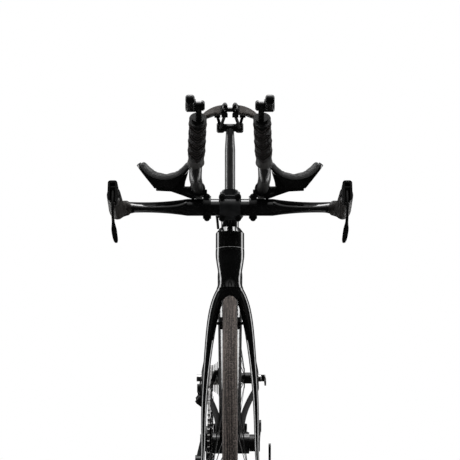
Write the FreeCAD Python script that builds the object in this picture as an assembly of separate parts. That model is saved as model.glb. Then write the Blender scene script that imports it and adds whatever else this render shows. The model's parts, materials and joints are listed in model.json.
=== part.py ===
"""A time trial bicycle: carbon frame and fork, aero bars, deep wheels and a two by eleven drive."""
import FreeCAD, Part
import math
import os
from FreeCAD import Matrix, Placement, Vector

# Millimetres. +Z is up, -Y is forward, -X is the drive side. The ground is Z = 0, under the middle
# of the wheelbase.

# Fits
RUNNING_FIT = 0.05
SEAT_GAP = 0.1
BODY_GAP = 0.5
TYRE_ROOM = 7.0

# Wheels
BEAD_SEAT_RADIUS = 311.0
TYRE_SECTION = 25.0
TYRE_WALL = 3.0
RIM_DEPTH = 50.0
RIM_WIDTH = 25.0
RIM_WALL = 2.2
RIM_HOOK = 5.0
RIM_HOOK_WALL = 3.6
BRAKE_TRACK = 12.0
RIM_NOSE_HALF = 4.5
RIM_BELLY = 3.0
SPOKE_WIDTH = 2.4
SPOKE_THICKNESS = 1.0
FRONT_SPOKES = 20
REAR_SPOKES = 24
SPOKE_OFFSET = 1.2
WHEEL_RADIUS = BEAD_SEAT_RADIUS + TYRE_SECTION
TYRE_CENTRE = WHEEL_RADIUS - TYRE_SECTION / 2

# Hubs, axles and quick releases
FRONT_HUB_WIDTH = 100.0
REAR_HUB_WIDTH = 130.0
FRONT_FLANGE_X = 33.0
FRONT_FLANGE_RADIUS = 19.0
REAR_FLANGE_X = 36.0
DRIVE_FLANGE_X = 16.5
REAR_FLANGE_RADIUS = 25.0
FLANGE_THICKNESS = 3.0
HUB_SHELL_RADIUS = 11.0
HUB_BEARING_RADIUS = 14.0
AXLE_RADIUS = 6.0
FRONT_AXLE_END = 4.5
REAR_AXLE_END = 5.0
LOCKNUT_RADIUS = 9.0
LOCKNUT_LENGTH = 5.0
SKEWER_RADIUS = 2.5
SKEWER_NUT_RADIUS = 8.5
SKEWER_NUT_LENGTH = 12.0
CAM_HOUSING_LENGTH = 6.0
CAM_BOSS_RADIUS = 5.5
CAM_HEEL = 2.5
CAM_BOSS_LENGTH = 10.0
CAM_PIN_RADIUS = 2.0
CAM_EAR = 2.5
RELEASE_LEVER_LENGTH = 58.0
RELEASE_LEVER_TIP_RADIUS = 8.0
RELEASE_LEVER_THICKNESS = 4.0

# Frame geometry
WHEELBASE = 985.0
CHAINSTAY_LENGTH = 405.0
BOTTOM_BRACKET_DROP = 72.0
HEAD_ANGLE = 72.5
SEAT_ANGLE = 77.9
FORK_RAKE = 43.0
CROWN_HEIGHT = 361.0
DROPOUT_THICKNESS = 7.0

# Head tube and headset, measured along the steering axis
STEERER_RADIUS = 14.3
STEERER_BORE = 11.5
STEERER_CLEARANCE = 3.0
HEAD_TUBE_LENGTH = 78.0
HEAD_WAIST_RISE = 36.0
HEAD_LOW_HALF = 26.0
HEAD_WAIST_HALF = 23.5
HEAD_SHOULDER_DROP = 15.0
HEAD_TOP_HALF = 27.5
HEAD_FORE = 28.0
HEAD_WAIST_FORE = 25.0
HEAD_AFT = 48.0
EXTENSION_HEIGHT = 31.0
BEARING_HEIGHT = 7.0
BEARING_WALL = 8.0
COVER_HEIGHT = 10.0
COVER_TOP_RADIUS = 20.0
SPACER_HEIGHT = 28.0
SPACER_RADIUS = 17.0

# Main tubes
DOWN_TUBE_HALF = 24.0
DOWN_TUBE_FORE = 24.0
DOWN_TUBE_AFT = 44.0
DOWN_TUBE_RISE = 28.0
DOWN_TUBE_SETBACK = 12.0
TOP_TUBE_HALF = 19.0
TOP_TUBE_HEIGHT = 46.0
TOP_TUBE_TOP = 768.0
TOP_TUBE_HEAD_SETBACK = 20.0
SEAT_TUBE_HALF = 17.0
SEAT_TUBE_FORE = 30.0
SEAT_TUBE_AFT = 48.0
SEAT_TUBE_LENGTH = 538.0
SHELL_RADIUS = 24.0
SHELL_WIDTH = 86.5
SHELL_BORE = 20.5
TOP_TUBE_BOLT_SPACING = 40.0
TOP_TUBE_BOLT_Y = -150.0
TOP_TUBE_BOLT_RADIUS = 2.5
TOP_TUBE_BOLT_DEPTH = 12.0

# Stays and dropouts
SEATSTAY_TOP_Z = 618.0
SEATSTAY_TOP_X = 20.0
SEATSTAY_HALF = 5.5
SEATSTAY_DEPTH_HALF = 13.0
SEATSTAY_TIP_DEPTH_HALF = 9.0
STAY_TIP_RISE = 14.0
CHAINSTAY_ROOT_X = 22.0
CHAINSTAY_ROOT_HALF = 11.0
CHAINSTAY_ROOT_HEIGHT_HALF = 19.0
CHAINSTAY_WAIST_REACH = 116.0
CHAINSTAY_WAIST_X = 28.5
CHAINSTAY_WAIST_HALF = 7.0
CHAINSTAY_WAIST_HEIGHT_HALF = 16.0
CHAINSTAY_TAIL_REACH = 62.0
CHAINSTAY_TAIL_HALF = 3.4
CHAINSTAY_TAIL_HEIGHT_HALF = 12.0
CHAINSTAY_RISE = 5.0
DROPOUT_RADIUS = 15.0
HANGER_RADIUS = 9.0
HANGER_BACK = 8.0
HANGER_DROP = 28.0
HANGER_BOLT_RADIUS = 4.0

# Fork legs, measured along the steering axis and across it
LEG_ROOT_HALF = 12.0
LEG_TOP_HEIGHT = 338.0
LEG_TOP_X = 24.0
LEG_TOP_HALF = 11.5
LEG_SHOULDER_HEIGHT = 290.0
LEG_SHOULDER_X = 35.0
LEG_SHOULDER_HALF = 9.6
LEG_MIDDLE_HEIGHT = 205.0
LEG_MIDDLE_X = 44.2
LEG_MIDDLE_HALF = 6.6
LEG_LOW_HEIGHT = 100.0
LEG_LOW_X = 49.2
LEG_LOW_HALF = 4.8
LEG_TIP_HEIGHT = 6.0
LEG_TIP_HALF = 3.0
LEG_TOP_FORE = 17.0
LEG_TOP_AFT = 30.0
LEG_TIP_FORE = 10.0
LEG_TIP_AFT = 12.0
CROWN_BASE_HALF = 33.0
CROWN_BASE_FORE = 23.0
CROWN_BASE_AFT = 30.0
CROWN_AFT = 32.0
CROWN_SWING = 56.0
ARCH_HALF = 18.5
FORK_TIP_RADIUS = 12.0

# Seatpost and saddle
SEATPOST_HALF = 12.0
SEATPOST_FORE = 22.0
SEATPOST_AFT = 32.0
SEATPOST_INSERTION = 110.0
SEATPOST_SHOULDER_BELOW = 52.0
SEATPOST_HEAD_HALF = 9.0
SEATPOST_HEAD_FORE = 13.0
SEATPOST_HEAD_AFT = 15.0
SADDLE_CLAMP_HEIGHT = 970.0
RAIL_RADIUS = 3.5
RAIL_SPACING = 44.0
RAIL_FRONT_REACH = 122.0
RAIL_FRONT_X = 12.0
RAIL_REAR_REACH = 98.0
RAIL_REAR_X = 30.0
RAIL_FLAT_HALF = 40.0
CLAMP_EAR_RADIUS = 12.0
CLAMP_EAR_WIDTH = 18.0
CLAMP_EAR_ROUND = 5.0
CLAMP_BARREL_RADIUS = 9.0
SADDLE_RISE = 53.0
SADDLE_NOSE_REACH = 134.0
SADDLE_TAIL_REACH = 114.0
SADDLE_SLOT_HALF = 6.0
SADDLE_NOSE_HALF = 7.5
SADDLE_MIDDLE_HALF = 13.0
SADDLE_TAIL_HALF = 33.0
SADDLE_TAIL_LIFT = 8.0
SADDLE_PAD_HALF = 12.0
SADDLE_UNDER_SHARE = 0.65
SADDLE_DROOP = 22.0
SADDLE_MIDDLE_DROOP = 8.0
SADDLE_SHELL_THICKNESS = 4.0
SADDLE_SHELL_SINK = 2.0
SADDLE_EDGE_ROUND = 7.0
SADDLE_END_SHARE = 0.45
SADDLE_STEPS = 4

# Stem and base bar
STEM_REACH = 105.5
STEM_CLAMP_RADIUS = 19.5
STEM_CLAMP_HEIGHT = 44.0
STEM_BODY_HALF = 16.0
BAR_CLAMP_RADIUS = 15.9
BAR_CLAMP_WALL = 5.0
FACEPLATE_HALF = 19.5
FACEPLATE_GAP = 1.5
FACEPLATE_EAR = 6.5
FACEPLATE_EAR_DEPTH = 13.0
FACEPLATE_BOLT_X = 14.5
FACEPLATE_BOLT_Z = 19.5
STEM_BARREL_RADIUS = 6.0
STEM_BARREL_HALF = 12.0
BOLT_RADIUS = 2.5
BOLT_HEAD_RADIUS = 4.3
BOLT_HEAD_LENGTH = 5.0
BOLT_LENGTH = 20.0
HEX_KEY_RADIUS = 2.2
HEX_KEY_DEPTH = 3.0
TOP_CAP_RADIUS = 15.5
TOP_CAP_THICKNESS = 4.0
BAR_ROUND_HALF = 80.0
WING_START = 106.0
WING_CHORD_HALF = 24.0
WING_HEIGHT_HALF = 12.4
WING_END = 178.0
WING_END_CHORD_HALF = 21.0
WING_END_HEIGHT_HALF = 9.8
HORN_X = 208.0
HORN_DROP = 3.0
HORN_SWEEP = 43.0
HORN_HALF = 12.0
ELBOW_STEPS = 9
RISE_STEPS = 4
GRIP_FIRST_STEP = 3
HORN_HEIGHT_HALF = 15.0
HORN_REACH = 118.0
HORN_TIP_RISE = 30.0
HORN_TIP_HALF = 10.0
HORN_TIP_HEIGHT_HALF = 14.0
GRIP_WALL = 2.4

# Brake levers
LEVER_BODY_LENGTH = 30.0
LEVER_BODY_HALF = 8.6
LEVER_BODY_HEIGHT_HALF = 19.0
LEVER_BODY_SHIFT = 2.0
LEVER_BODY_NECK = 9.0
LEVER_BODY_ROUND = 5.0
LEVER_SLOT_HALF = 4.6
LEVER_PIVOT_FORE = 18.0
LEVER_PIVOT_RISE = 6.0
LEVER_PIN_RADIUS = 2.5
LEVER_BOSS_RADIUS = 6.5
LEVER_DROP = 97.0
LEVER_PULL = 22.0
LEVER_ROOT_HALF = 4.2
LEVER_NECK_HALF = 2.7
LEVER_PADDLE_HALF = 5.0
LEVER_NECK_SHARE = 0.42
LEVER_PADDLE_SHARE = 0.58
LEVER_PADDLE_RAMP = 0.18
LEVER_STEPS = 28
LEVER_END_TAPER = 0.8
LEVER_END_POWER = 18
LEVER_THICKNESS_HALF = 3.0
LEVER_BOW = 22.0
LEVER_TIP_INSET = 5.0

# Extensions, clamps and armrests
EXTENSION_RADIUS = 11.1
EXTENSION_WALL = 1.6
EXTENSION_X = 60.5
EXTENSION_TIP_X = 53.0
EXTENSION_HEIGHT_OVER_BAR = 33.0
EXTENSION_TAIL = 62.0
EXTENSION_STRAIGHT = 185.0
EXTENSION_TILT = 10.0
EXTENSION_RISE = 42.0
EXTENSION_TIP_LENGTH = 152.0
EXTENSION_BEND_RADIUS = 85.0
EXTENSION_GRIP_RADIUS = 14.7
EXTENSION_GRIP_LENGTH = 112.0
GRIP_SCALLOPS = 5
GRIP_SCALLOP_DEPTH = 1.2
CLAMP_RING_X = 43.0
CLAMP_RING_WIDTH = 15.0
CLAMP_RING_WALL = 5.5
CLAMP_EAR_LENGTH = 11.0
CLAMP_BOLT_OVER = 19.5
CLAMP_BOSS_RADIUS = 5.8
TUBE_CLAMP_WALL = 3.5
TUBE_CLAMP_LENGTH = 32.0
ARM_DEPTH = 34.0
ARM_HEIGHT = 12.0
ARMREST_X = 122.0
ARMREST_LENGTH = 104.0
ARMREST_FRONT = 26.0
ARMREST_RISE = 37.0
CUP_FLAT_HALF = 18.0
CUP_HALF = 52.0
CUP_DEPTH = 30.5
CUP_FLOOR = 14.5
CUP_LIP = 3.0
CUP_CORNER = 24.0
PAD_THICKNESS = 8.5
PAD_EDGE = 4.0
PAD_INSET = 1.5
ARM_SETBACK = 12.0
PLATFORM_HALF = 16.0
PLATFORM_THICKNESS = 5.0

# Bar-end shifters
SHIFTER_COLLAR_RADIUS = 10.5
SHIFTER_COLLAR_LENGTH = 4.0
SHIFTER_PLUG_LENGTH = 14.0
SHIFTER_REACH = 33.0
SHIFTER_TONGUE_HALF = 4.5
SHIFTER_TONGUE_RADIUS = 6.5
SHIFTER_DRUM_RADIUS = 10.5
SHIFTER_DRUM_WIDTH = 17.0
SHIFTER_CAP_RADIUS = 8.5
SHIFTER_CAP_WIDTH = 5.5
SHIFTER_CHAMFER = 2.5
SHIFTER_PIN_RADIUS = 3.0
SHIFT_PADDLE_LENGTH = 36.0
SHIFT_PADDLE_TIP_RADIUS = 8.0
SHIFT_PADDLE_THICKNESS = 15.0
SHIFT_PADDLE_ROUND = 4.5
SHIFT_PADDLE_ANGLE = 15.0

# Drive
CHAIN_PITCH = 12.7
ROLLER_RADIUS = 3.85
ROLLER_ROOM = 0.25
ROLLER_HALF = 1.1
CHAIN_PLATE = 0.75
CHAIN_PLATE_GAP = 0.05
CHAIN_PLATE_RADIUS = 4.2
CHAIN_PLATE_WAIST = 3.0
CHAIN_PIN_RADIUS = 1.8
TOOTH_HEIGHT = 2.4
TOOTH_TIP_HALF = 1.0
TOOTH_SEAT_ANGLE = 60.0
SPROCKET_THICKNESS = 1.6
CHAINLINE = 46.8
RING_SPACING = 6.6
OUTER_RING_TEETH = 52
INNER_RING_TEETH = 36
RING_THICKNESS = 2.0
RING_INNER_RADIUS = 47.0
RING_BOLT_CIRCLE = 55.0
RING_BOLTS = 4
RING_BOLT_RADIUS = 4.0
RING_BOLT_HEAD = 5.5
RING_BOLT_HEAD_LENGTH = 1.2
SPROCKET_TEETH = (11, 12, 13, 14, 15, 16, 17, 19, 21, 23, 25)
DRIVEN_SPROCKET = 3
SPROCKET_SPACING = 3.74
FREEHUB_RADIUS = 17.0
LOCKRING_RADIUS = 20.0
LOCKRING_THICKNESS = 2.0
PULLEY_TEETH = 11
CRANK_LENGTH = 172.5
CRANK_INNER_X = 54.0
CRANK_THICKNESS = 13.0
CRANK_FLARE = 7.0
CRANK_BOSS_RADIUS = 19.0
CRANK_TIP_RADIUS = 14.0
CRANK_ARM_HALF = 11.0
PEDAL_THREAD_RADIUS = 7.14
SPINDLE_RADIUS = 12.0
SPINDLE_BORE = 9.0
SPIDER_ARM_HALF = 9.0
SPIDER_ROOT_SHARE = 0.62

# Rear derailleur
GUIDE_BACK = 12.0
GUIDE_DROP = 62.5
CAGE_LENGTH = 56.0
LEAN_SEARCH = 30.0
LEAN_STEP = 1e-9
CAGE_LEAN = 25.0
CAGE_PLATE = 1.2
CAGE_PLATE_RADIUS = 13.0
CAGE_GAP = 3.6
PULLEY_BORE = 3.0
PULLEY_HUB_RADIUS = 8.0
LINK_LENGTH = 46.0
LINK_SLANT = 38.8
LINK_SPACING = 15.0
LINK_THICKNESS = 3.0
LINK_HEIGHT = 13.0
LINK_END_RADIUS = 4.0
LINK_PIN_RADIUS = 1.8
KNUCKLE_X = 74.0
CAGE_PIVOT_RADIUS = 4.0
KNUCKLE_RADIUS = 9.0
KNUCKLE_BLOCK_HALF = 5.0
B_KNUCKLE_RADIUS = 11.0
B_KNUCKLE_LENGTH = 11.0

# Front derailleur
FD_PIVOT_X = 33.0
FD_PIVOT_Z = 418.0
FD_LINK_DROP = 20.0
FD_LINK_OUT = 7.0
FD_LINK_HALF = 9.0
FD_EAR = 2.5
FD_LINK_RADIUS = 4.0
FD_PIN_RADIUS = 1.8
FD_CAGE_CLEARANCE = 4.0
FD_CAGE_HEIGHT = 19.0
FD_CAGE_PLATE = 1.2
FD_CAGE_INNER_GAP = 3.8
FD_CAGE_OUTER_GAP = 4.2
FD_TAIL_TURN = 1.7
FD_CAGE_START = 46.0
FD_CAGE_END = 92.0

# Brakes
BRAKE_PIVOT_RADIUS = 280.0
BRAKE_PAD_RADIUS = 309.0
BRAKE_TOP_RADIUS = 336.0
BRAKE_PIVOT_X = 36.0
BRAKE_TOP_X = 29.0
BRAKE_ARM_RADIUS = 6.0
BRAKE_ARM_TIP_RADIUS = 4.5
BRAKE_ARM_THICKNESS = 9.0
BRAKE_STUD_RADIUS = 4.0
BRAKE_STUD_LENGTH = 26.0
BRAKE_STUD_HEAD = 1.6
BRAKE_STUD_HEAD_RADIUS = 5.5
BRAKE_PAD_GAP = 1.7
BRAKE_PAD_THICKNESS = 6.0
BRAKE_PAD_HEIGHT = 10.0
BRAKE_PAD_LENGTH = 38.0
BRAKE_POST_RADIUS = 3.0
FRONT_BRAKE_LEAN = 7.0
REAR_BRAKE_DROP = 17.0

# Cable housings
BRAKE_HOUSING_RADIUS = 2.5
SHIFT_HOUSING_RADIUS = 2.0
SHIFT_FIRST_RUN = 26.0
PORT_DEPTH = 12.0
PORT_RUN = 20.0
PORT_LEAN = 50.0
SHIFT_PORT = (9.0, -236.0)
BRAKE_PORT = (0.0, -222.0)
SHIFT_ROUTE = ((53.0, 115.0, 6.0), (38.0, 134.0, -10.0), (22.0, 146.0, -28.0))
REAR_BRAKE_ROUTE = ((26.5, 16.2, 0.0), (27.0, 42.0, -1.0), (27.0, 72.0, -9.0), (24.5, 100.0, -23.0),
                    (16.0, 127.0, -35.0), (6.0, 150.0, -41.0))
FRONT_BRAKE_ROUTE = ((26.5, 16.2, 0.0), (26.5, 38.0, -1.0), (26.5, 60.0, -8.0), (25.5, 77.0, -21.0),
                     (24.0, 86.0, -35.0), (23.0, 90.0, -47.5))
REAR_LOOP_ROUTE = ((0.0, 0.2, 0.0), (-1.0, 16.0, 2.5), (-3.5, 33.0, -0.5), (-7.0, 46.0, -12.0),
                   (-8.8, 50.5, -33.8))

# Derived points and directions
SIDE = Vector(1, 0, 0)
BACK = Vector(0, 1, 0)
UP = Vector(0, 0, 1)
ORIGIN = Vector(0, 0, 0)
FRONT_HUB = Vector(0, -WHEELBASE / 2, WHEEL_RADIUS)
REAR_HUB = Vector(0, WHEELBASE / 2, WHEEL_RADIUS)
CHAINSTAY_RUN = math.sqrt(CHAINSTAY_LENGTH ** 2 - BOTTOM_BRACKET_DROP ** 2)
BRACKET = REAR_HUB - BACK * CHAINSTAY_RUN - UP * BOTTOM_BRACKET_DROP
HEAD_RADIANS = math.radians(HEAD_ANGLE)
STEER_UP = Vector(0, math.cos(HEAD_RADIANS), math.sin(HEAD_RADIANS))
STEER_FORE = Vector(0, -math.sin(HEAD_RADIANS), math.cos(HEAD_RADIANS))
STEER_FOOT = FRONT_HUB - STEER_FORE * FORK_RAKE
SEAT_RADIANS = math.radians(SEAT_ANGLE)
SEAT_UP = Vector(0, math.cos(SEAT_RADIANS), math.sin(SEAT_RADIANS))
SEAT_FORE = Vector(0, -math.sin(SEAT_RADIANS), math.cos(SEAT_RADIANS))
HEAD_TOP = CROWN_HEIGHT + HEAD_TUBE_LENGTH
EXTENSION_TOP = HEAD_TOP + EXTENSION_HEIGHT
COVER_TOP = EXTENSION_TOP + BODY_GAP + COVER_HEIGHT
SPACER_TOP = COVER_TOP + SPACER_HEIGHT
STEERER_TOP = SPACER_TOP + STEM_CLAMP_HEIGHT
BEARING_SEAT = STEERER_RADIUS + BEARING_WALL
SEATPOST_TOP = (SADDLE_CLAMP_HEIGHT - BRACKET.z) / SEAT_UP.z
QUARTER_WEIGHT = math.sqrt(0.5)
FULL_TURN = 360.0
ARC_SHARE = 0.45


def unit(vector):
    """Return a copy of the vector with length one."""
    return Vector(vector).normalize()


def on_steerer(height, fore=0.0, side=0.0):
    """Point on the steering axis, moved forward and sideways across it."""
    return STEER_FOOT + STEER_UP * height + STEER_FORE * fore + SIDE * side


def on_seat_tube(height, fore=0.0):
    """Point on the seat tube's axis, moved forward across it."""
    return BRACKET + SEAT_UP * height + SEAT_FORE * fore


def blend(start, end, share):
    """Value between two values."""
    return start + (end - start) * share


def quarter(start, corner, end):
    """Quarter of an ellipse as one exact curve."""
    curve = Part.BezierCurve()
    curve.setPoles([start, corner, end])
    curve.setWeight(2, QUARTER_WEIGHT)
    return curve.toShape()


def oval(centre, side, fore, half, fore_length, aft_length):
    """Closed section of four quarter ellipses, with its own length fore and aft of the centre."""
    right = side * half
    front = fore * fore_length
    rear = fore * -aft_length
    return Part.Wire([
        quarter(centre + right, centre + right + front, centre + front),
        quarter(centre + front, centre + front - right, centre - right),
        quarter(centre - right, centre - right + rear, centre + rear),
        quarter(centre + rear, centre + rear + right, centre + right),
    ])


def loft(sections, ruled=False):
    """Solid through a row of sections."""
    return Part.makeLoft(sections, True, ruled)


def union(first, *others):
    """Fuse shapes into one solid."""
    fused = first.multiFuse(list(others)) if others else first
    solids = fused.Solids
    return solids[0] if len(solids) == 1 else fused


def rod(start, end, radius):
    """Cylinder between two points."""
    along = end - start
    return Part.makeCylinder(radius, along.Length, start, along)


def ring(start, end, outer, inner):
    """Hollow cylinder between two points."""
    return rod(start, end, outer).cut(rod(start, end, inner))


def block(centre, width, depth, height):
    """Box about a centre, along X, Y and Z."""
    corner = centre - Vector(width, depth, height) / 2
    return Part.makeBox(width, depth, height, corner)


def mirrored(shape):
    """Copy on the other side of the bicycle."""
    return shape.mirror(ORIGIN, SIDE)


def pair(shape):
    """The shape and its copy on the other side, as separate solids."""
    return Part.makeCompound([shape, mirrored(shape)])


def line(start, end):
    """Straight edge."""
    return Part.LineSegment(start, end).toShape()


def arc(start, middle, end):
    """Circular edge through three points."""
    return Part.Arc(start, middle, end).toShape()


def strap(start, start_radius, end, end_radius, normal, thickness):
    """Plate with two round ends and straight tangent sides, grown along its normal."""
    along = end - start
    direction = unit(along)
    across = normal.cross(direction)
    lean = math.asin((start_radius - end_radius) / along.Length)
    left = across * math.cos(lean) + direction * math.sin(lean)
    right = across * -math.cos(lean) + direction * math.sin(lean)
    edges = [
        line(start + left * start_radius, end + left * end_radius),
        arc(end + left * end_radius, end + direction * end_radius, end + right * end_radius),
        line(end + right * end_radius, start + right * start_radius),
        arc(start + right * start_radius, start - direction * start_radius, start + left * start_radius),
    ]
    return Part.Face(Part.Wire(edges)).extrude(normal * thickness)


def spun(points, centre):
    """Solid of revolution about the X line through the centre, from (x, radius) points."""
    outline = [centre + SIDE * x + UP * radius for x, radius in points]
    face = Part.Face(Part.makePolygon(outline + outline[:1]))
    return face.revolve(centre, SIDE, FULL_TURN)


def rounded_path(points, limit=None):
    """Wire of straight runs joined by tangent arcs as large as the runs allow, and its least radius."""
    edges = []
    radii = []
    start = points[0]
    for before, corner, after in zip(points, points[1:], points[2:]):
        back = before - corner
        ahead = after - corner
        half_turn = (math.pi - back.getAngle(ahead)) / 2
        reach = ARC_SHARE * min(back.Length, ahead.Length)
        if limit:
            reach = min(reach, limit * math.tan(half_turn))
        radius = reach / math.tan(half_turn)
        inward = unit(unit(back) + unit(ahead))
        middle = corner + inward * (radius / math.cos(half_turn) - radius)
        first = corner + unit(back) * reach
        last = corner + unit(ahead) * reach
        edges += [line(start, first), arc(first, middle, last)]
        radii.append(radius)
        start = last
    edges.append(line(start, points[-1]))
    return Part.Wire(edges), min(radii)


def pipe(points, radius, limit=None):
    """Round tube along a rounded path."""
    path, least = rounded_path(points, limit)
    section = Part.Wire(Part.makeCircle(radius, points[0], points[1] - points[0]))
    return path.makePipeShell([section], True, False), path, least


# Frame

def head_section(height, half, fore, aft):
    """Section across the steering axis."""
    return oval(on_steerer(height), SIDE, STEER_FORE, half, fore, aft)


def head_tube():
    """Waisted head tube between the crown and the headset extension."""
    return loft([
        head_section(CROWN_HEIGHT + BODY_GAP, HEAD_LOW_HALF, HEAD_FORE, HEAD_AFT),
        head_section(CROWN_HEIGHT + HEAD_WAIST_RISE, HEAD_WAIST_HALF, HEAD_WAIST_FORE, HEAD_AFT),
        head_section(HEAD_TOP - HEAD_SHOULDER_DROP, HEAD_TOP_HALF, HEAD_FORE, HEAD_AFT),
        head_section(HEAD_TOP, HEAD_TOP_HALF, HEAD_FORE, HEAD_AFT),
    ])


def extension_solid(growth=0.0):
    """Headset extension over the head tube, grown all round by a gap for its pocket."""
    low = head_section(HEAD_TOP, HEAD_TOP_HALF + growth, HEAD_FORE + growth, HEAD_AFT + growth)
    high_end = EXTENSION_TOP + (EXTENSION_HEIGHT if growth else 0.0)
    high = head_section(high_end, HEAD_TOP_HALF + growth, HEAD_FORE + growth, HEAD_AFT + growth)
    return loft([low, high])


def wheel_room(hub, half_width):
    """Disc that the wheel needs free round a hub."""
    radius = WHEEL_RADIUS + TYRE_ROOM
    return rod(hub - SIDE * half_width, hub + SIDE * half_width, radius)


def seat_section(height, half, fore, aft):
    """Section across the seat tube's axis."""
    return oval(on_seat_tube(height), SIDE, SEAT_FORE, half, fore, aft)


REAR_DROPOUT_X = REAR_HUB_WIDTH / 2 + SEAT_GAP
FRONT_DROPOUT_X = FRONT_HUB_WIDTH / 2 + SEAT_GAP
HANGER = REAR_HUB + BACK * HANGER_BACK - UP * HANGER_DROP - SIDE * REAR_DROPOUT_X
DOWN_TUBE_HEAD = on_steerer(CROWN_HEIGHT + DOWN_TUBE_RISE, -DOWN_TUBE_SETBACK)
DOWN_TUBE_ALONG = unit(BRACKET - DOWN_TUBE_HEAD)
DOWN_TUBE_FRONT = SIDE.cross(DOWN_TUBE_ALONG) * -1.0
TOP_TUBE_MIDDLE = TOP_TUBE_TOP - TOP_TUBE_HEIGHT / 2
REAR_RADIAL = unit(Vector(0, -math.cos(math.radians(REAR_BRAKE_DROP)),
                          -math.sin(math.radians(REAR_BRAKE_DROP))))
REAR_STUD = SIDE.cross(REAR_RADIAL)
LEG_LINE = unit(on_steerer(CROWN_HEIGHT) - FRONT_HUB)
FRONT_RADIAL = (LEG_LINE * math.cos(math.radians(FRONT_BRAKE_LEAN))
                + LEG_LINE.cross(SIDE) * math.sin(math.radians(FRONT_BRAKE_LEAN)))
FRONT_STUD = FRONT_RADIAL.cross(SIDE)


def brake_point(hub, radial, x, radius):
    """Point in a brake's plane, beside the rim."""
    return hub + SIDE * x + radial * radius


def brake_stud(hub, radial, stud):
    """Stud that a brake arm turns on, with its retaining head, on the left."""
    pivot = brake_point(hub, radial, BRAKE_PIVOT_X, BRAKE_PIVOT_RADIUS)
    face = stud * (BRAKE_ARM_THICKNESS / 2 + SEAT_GAP)
    head = rod(pivot + face, pivot + face + stud * BRAKE_STUD_HEAD, BRAKE_STUD_HEAD_RADIUS)
    return union(rod(pivot - stud * BRAKE_STUD_LENGTH, pivot + face, BRAKE_STUD_RADIUS), head)


def frame_side():
    """Left seatstay, chainstay, dropout and brake stud."""
    tip_x = REAR_DROPOUT_X + DROPOUT_THICKNESS / 2
    top = Vector(SEATSTAY_TOP_X, on_seat_tube((SEATSTAY_TOP_Z - BRACKET.z) / SEAT_UP.z).y, SEATSTAY_TOP_Z)
    tip = REAR_HUB + SIDE * tip_x + UP * STAY_TIP_RISE
    fore = unit(SIDE.cross(tip - top)) * -1.0
    seatstay = loft([
        oval(top, SIDE, fore, SEATSTAY_HALF, SEATSTAY_DEPTH_HALF, SEATSTAY_DEPTH_HALF),
        oval(tip, SIDE, fore, DROPOUT_THICKNESS / 2, SEATSTAY_TIP_DEPTH_HALF, SEATSTAY_TIP_DEPTH_HALF),
    ])
    slope = BOTTOM_BRACKET_DROP / CHAINSTAY_RUN

    def stay_section(reach, x, half, height_half):
        rise = CHAINSTAY_RISE + reach * (slope - CHAINSTAY_RISE / CHAINSTAY_RUN)
        centre = BRACKET + BACK * reach + SIDE * x + UP * rise
        return oval(centre, SIDE, UP, half, height_half, height_half)

    tail = stay_section(CHAINSTAY_RUN - CHAINSTAY_TAIL_REACH, tip_x, CHAINSTAY_TAIL_HALF,
                        CHAINSTAY_TAIL_HEIGHT_HALF)
    chainstay = loft([
        stay_section(0.0, CHAINSTAY_ROOT_X, CHAINSTAY_ROOT_HALF, CHAINSTAY_ROOT_HEIGHT_HALF),
        stay_section(CHAINSTAY_WAIST_REACH, CHAINSTAY_WAIST_X, CHAINSTAY_WAIST_HALF,
                     CHAINSTAY_WAIST_HEIGHT_HALF),
        tail,
    ])
    straight = loft([tail,
                     stay_section(CHAINSTAY_RUN, tip_x, CHAINSTAY_TAIL_HALF, CHAINSTAY_TAIL_HEIGHT_HALF)])
    inner = REAR_HUB + SIDE * REAR_DROPOUT_X
    plate = rod(inner, inner + SIDE * DROPOUT_THICKNESS, DROPOUT_RADIUS)
    return [seatstay, chainstay, straight, plate, brake_stud(REAR_HUB, REAR_RADIAL, REAR_STUD)]


def dropout_slot(hub, inner_x, axle_radius):
    """Slot that lets an axle drop out of a left dropout."""
    width = 2 * (axle_radius + RUNNING_FIT)
    inner = hub + SIDE * (inner_x - BODY_GAP)
    outer = inner + SIDE * (DROPOUT_THICKNESS + 2 * BODY_GAP)
    slot = Part.makeBox(outer.x - inner.x, width, 2 * DROPOUT_RADIUS,
                        inner - BACK * (width / 2) - UP * (2 * DROPOUT_RADIUS))
    return union(slot, rod(inner, outer, width / 2))


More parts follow.
